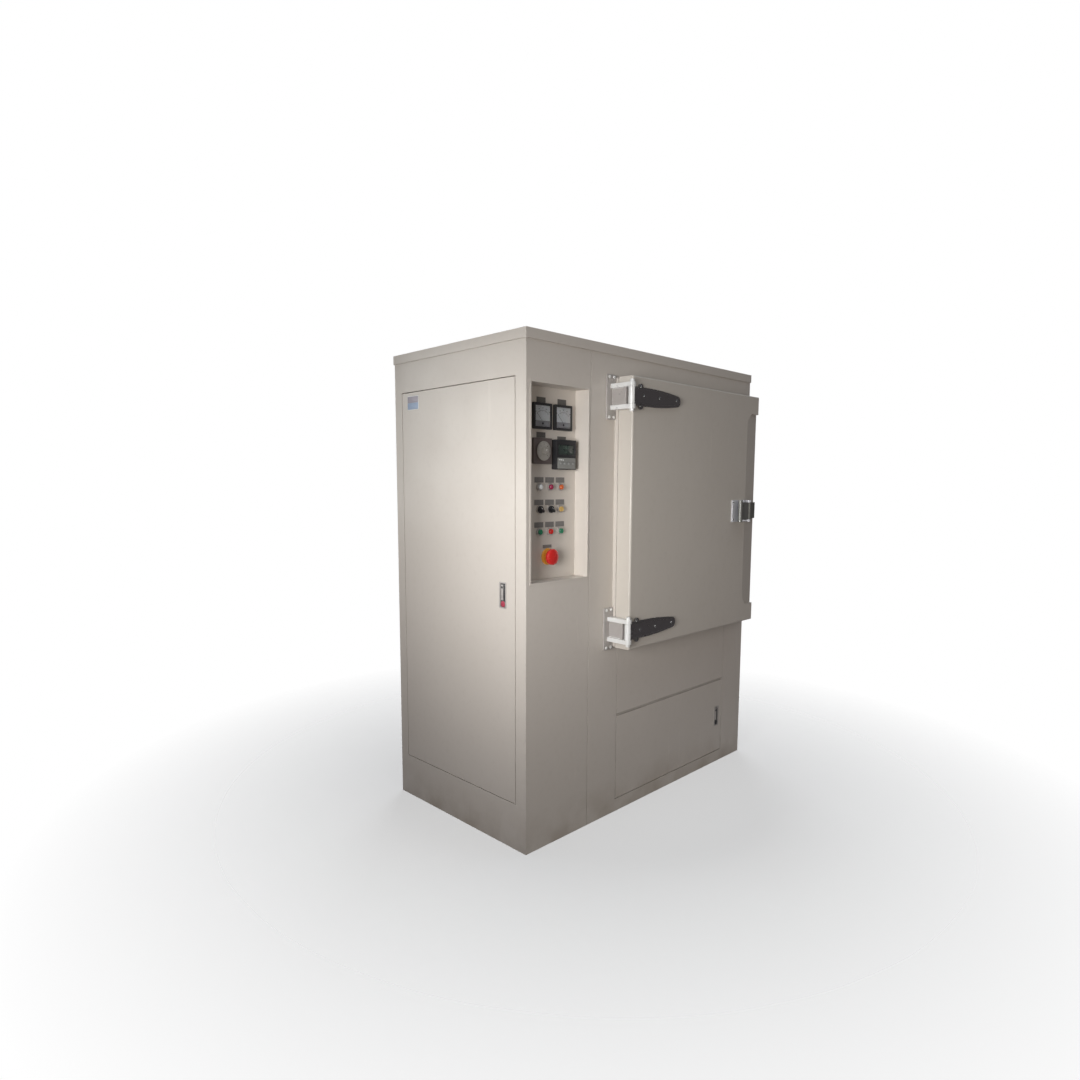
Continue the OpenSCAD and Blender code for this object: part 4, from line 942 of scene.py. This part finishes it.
def make_world():
    """White to look at; as light, a dim and even room."""
    world = bpy.data.worlds.new("studio")
    bpy.context.scene.world = world
    world.use_nodes = True
    tree = world.node_tree
    room = tree.nodes["Background"]
    room.inputs["Color"].default_value = (1.0, 0.9, 0.94, 1.0)
    room.inputs["Strength"].default_value = 0.115
    backdrop = tree.nodes.new("ShaderNodeBackground")
    backdrop.inputs["Color"].default_value = (1.0, 1.0, 1.0, 1.0)
    path = tree.nodes.new("ShaderNodeLightPath")
    mixed = tree.nodes.new("ShaderNodeMixShader")
    tree.links.new(path.outputs["Is Camera Ray"], mixed.inputs["Fac"])
    tree.links.new(room.outputs["Background"], mixed.inputs[1])
    tree.links.new(backdrop.outputs["Background"], mixed.inputs[2])
    tree.links.new(mixed.outputs["Shader"], tree.nodes["World Output"].inputs["Surface"])


make_floor()
make_world()

MIDDLE = Vector(((LEFT + RIGHT) / 2, (FRONT + BACK) / 2, TOP / 2))
NARROW, WIDE, OPEN = (math.radians(a) for a in (54, 80, 180))
area("key", (LEFT - 2.1, FRONT - 0.85, 1.3), (LEFT + 0.1, FRONT, 1.2), 0.9, 6.9, NARROW)
area("window", (LEFT - 1.9, BACK + 1.6, 1.75), (LEFT, BACK - 0.3, 1.4), 1.4, 3.5, WIDE, (0.97, 1.0, 0.96))
DOOR_SIDE = MIDDLE - Vector((0, 0.4, 0))
area("overhead", DOOR_SIDE + Vector((0, 0, 3.7)), DOOR_SIDE, 4.5, 68, OPEN, (0.81, 0.92, 1.0))
area("rear fill", (RIGHT + 2.7, BACK + 2.7, 2.1), MIDDLE, 2.4, 75, OPEN, (0.95, 0.97, 1.0))
area("fill", (LEFT - 0.6, FRONT - 3.6, 1.4), (LEFT + 0.3, FRONT, 1.0), 2.2, 15, OPEN, (1.0, 0.96, 0.82))

# The photograph's camera, fitted to the cabinet's edges: place from the near front-left corner at the
# floor, angles in degrees, and the lens and its centre in pixels of the square picture.
CAMERA_FROM_CORNER = Vector((-1.728, -1.801, 1.358))
YAW, PITCH, ROLL = (math.radians(a) for a in (44.41, 6.41, 0.11))
PICTURE, FOCAL, CENTRE_X, CENTRE_Y = 1080, 710.6, 533.43, 566.22
SENSOR = 36.0

camera = bpy.data.cameras.new("camera")
camera.sensor_width = SENSOR
camera.lens = FOCAL / PICTURE * SENSOR
camera.shift_x = (PICTURE / 2 - CENTRE_X) / PICTURE
camera.shift_y = (CENTRE_Y - PICTURE / 2) / PICTURE
view = bpy.data.objects.new("camera", camera)
forward = Vector((math.sin(YAW) * math.cos(PITCH), math.cos(YAW) * math.cos(PITCH), -math.sin(PITCH)))
level = Vector((math.cos(YAW), -math.sin(YAW), 0.0))
upright = level.cross(forward)
right = level * math.cos(ROLL) + upright * math.sin(ROLL)
up = upright * math.cos(ROLL) - level * math.sin(ROLL)
turn = Matrix((right, up, -forward)).transposed()
view.matrix_world = Matrix.Translation(Vector((LEFT, FRONT, 0)) + CAMERA_FROM_CORNER) @ turn.to_4x4()
bpy.context.scene.collection.objects.link(view)
bpy.context.scene.camera = view
bpy.context.scene.view_settings.view_transform = "Standard"
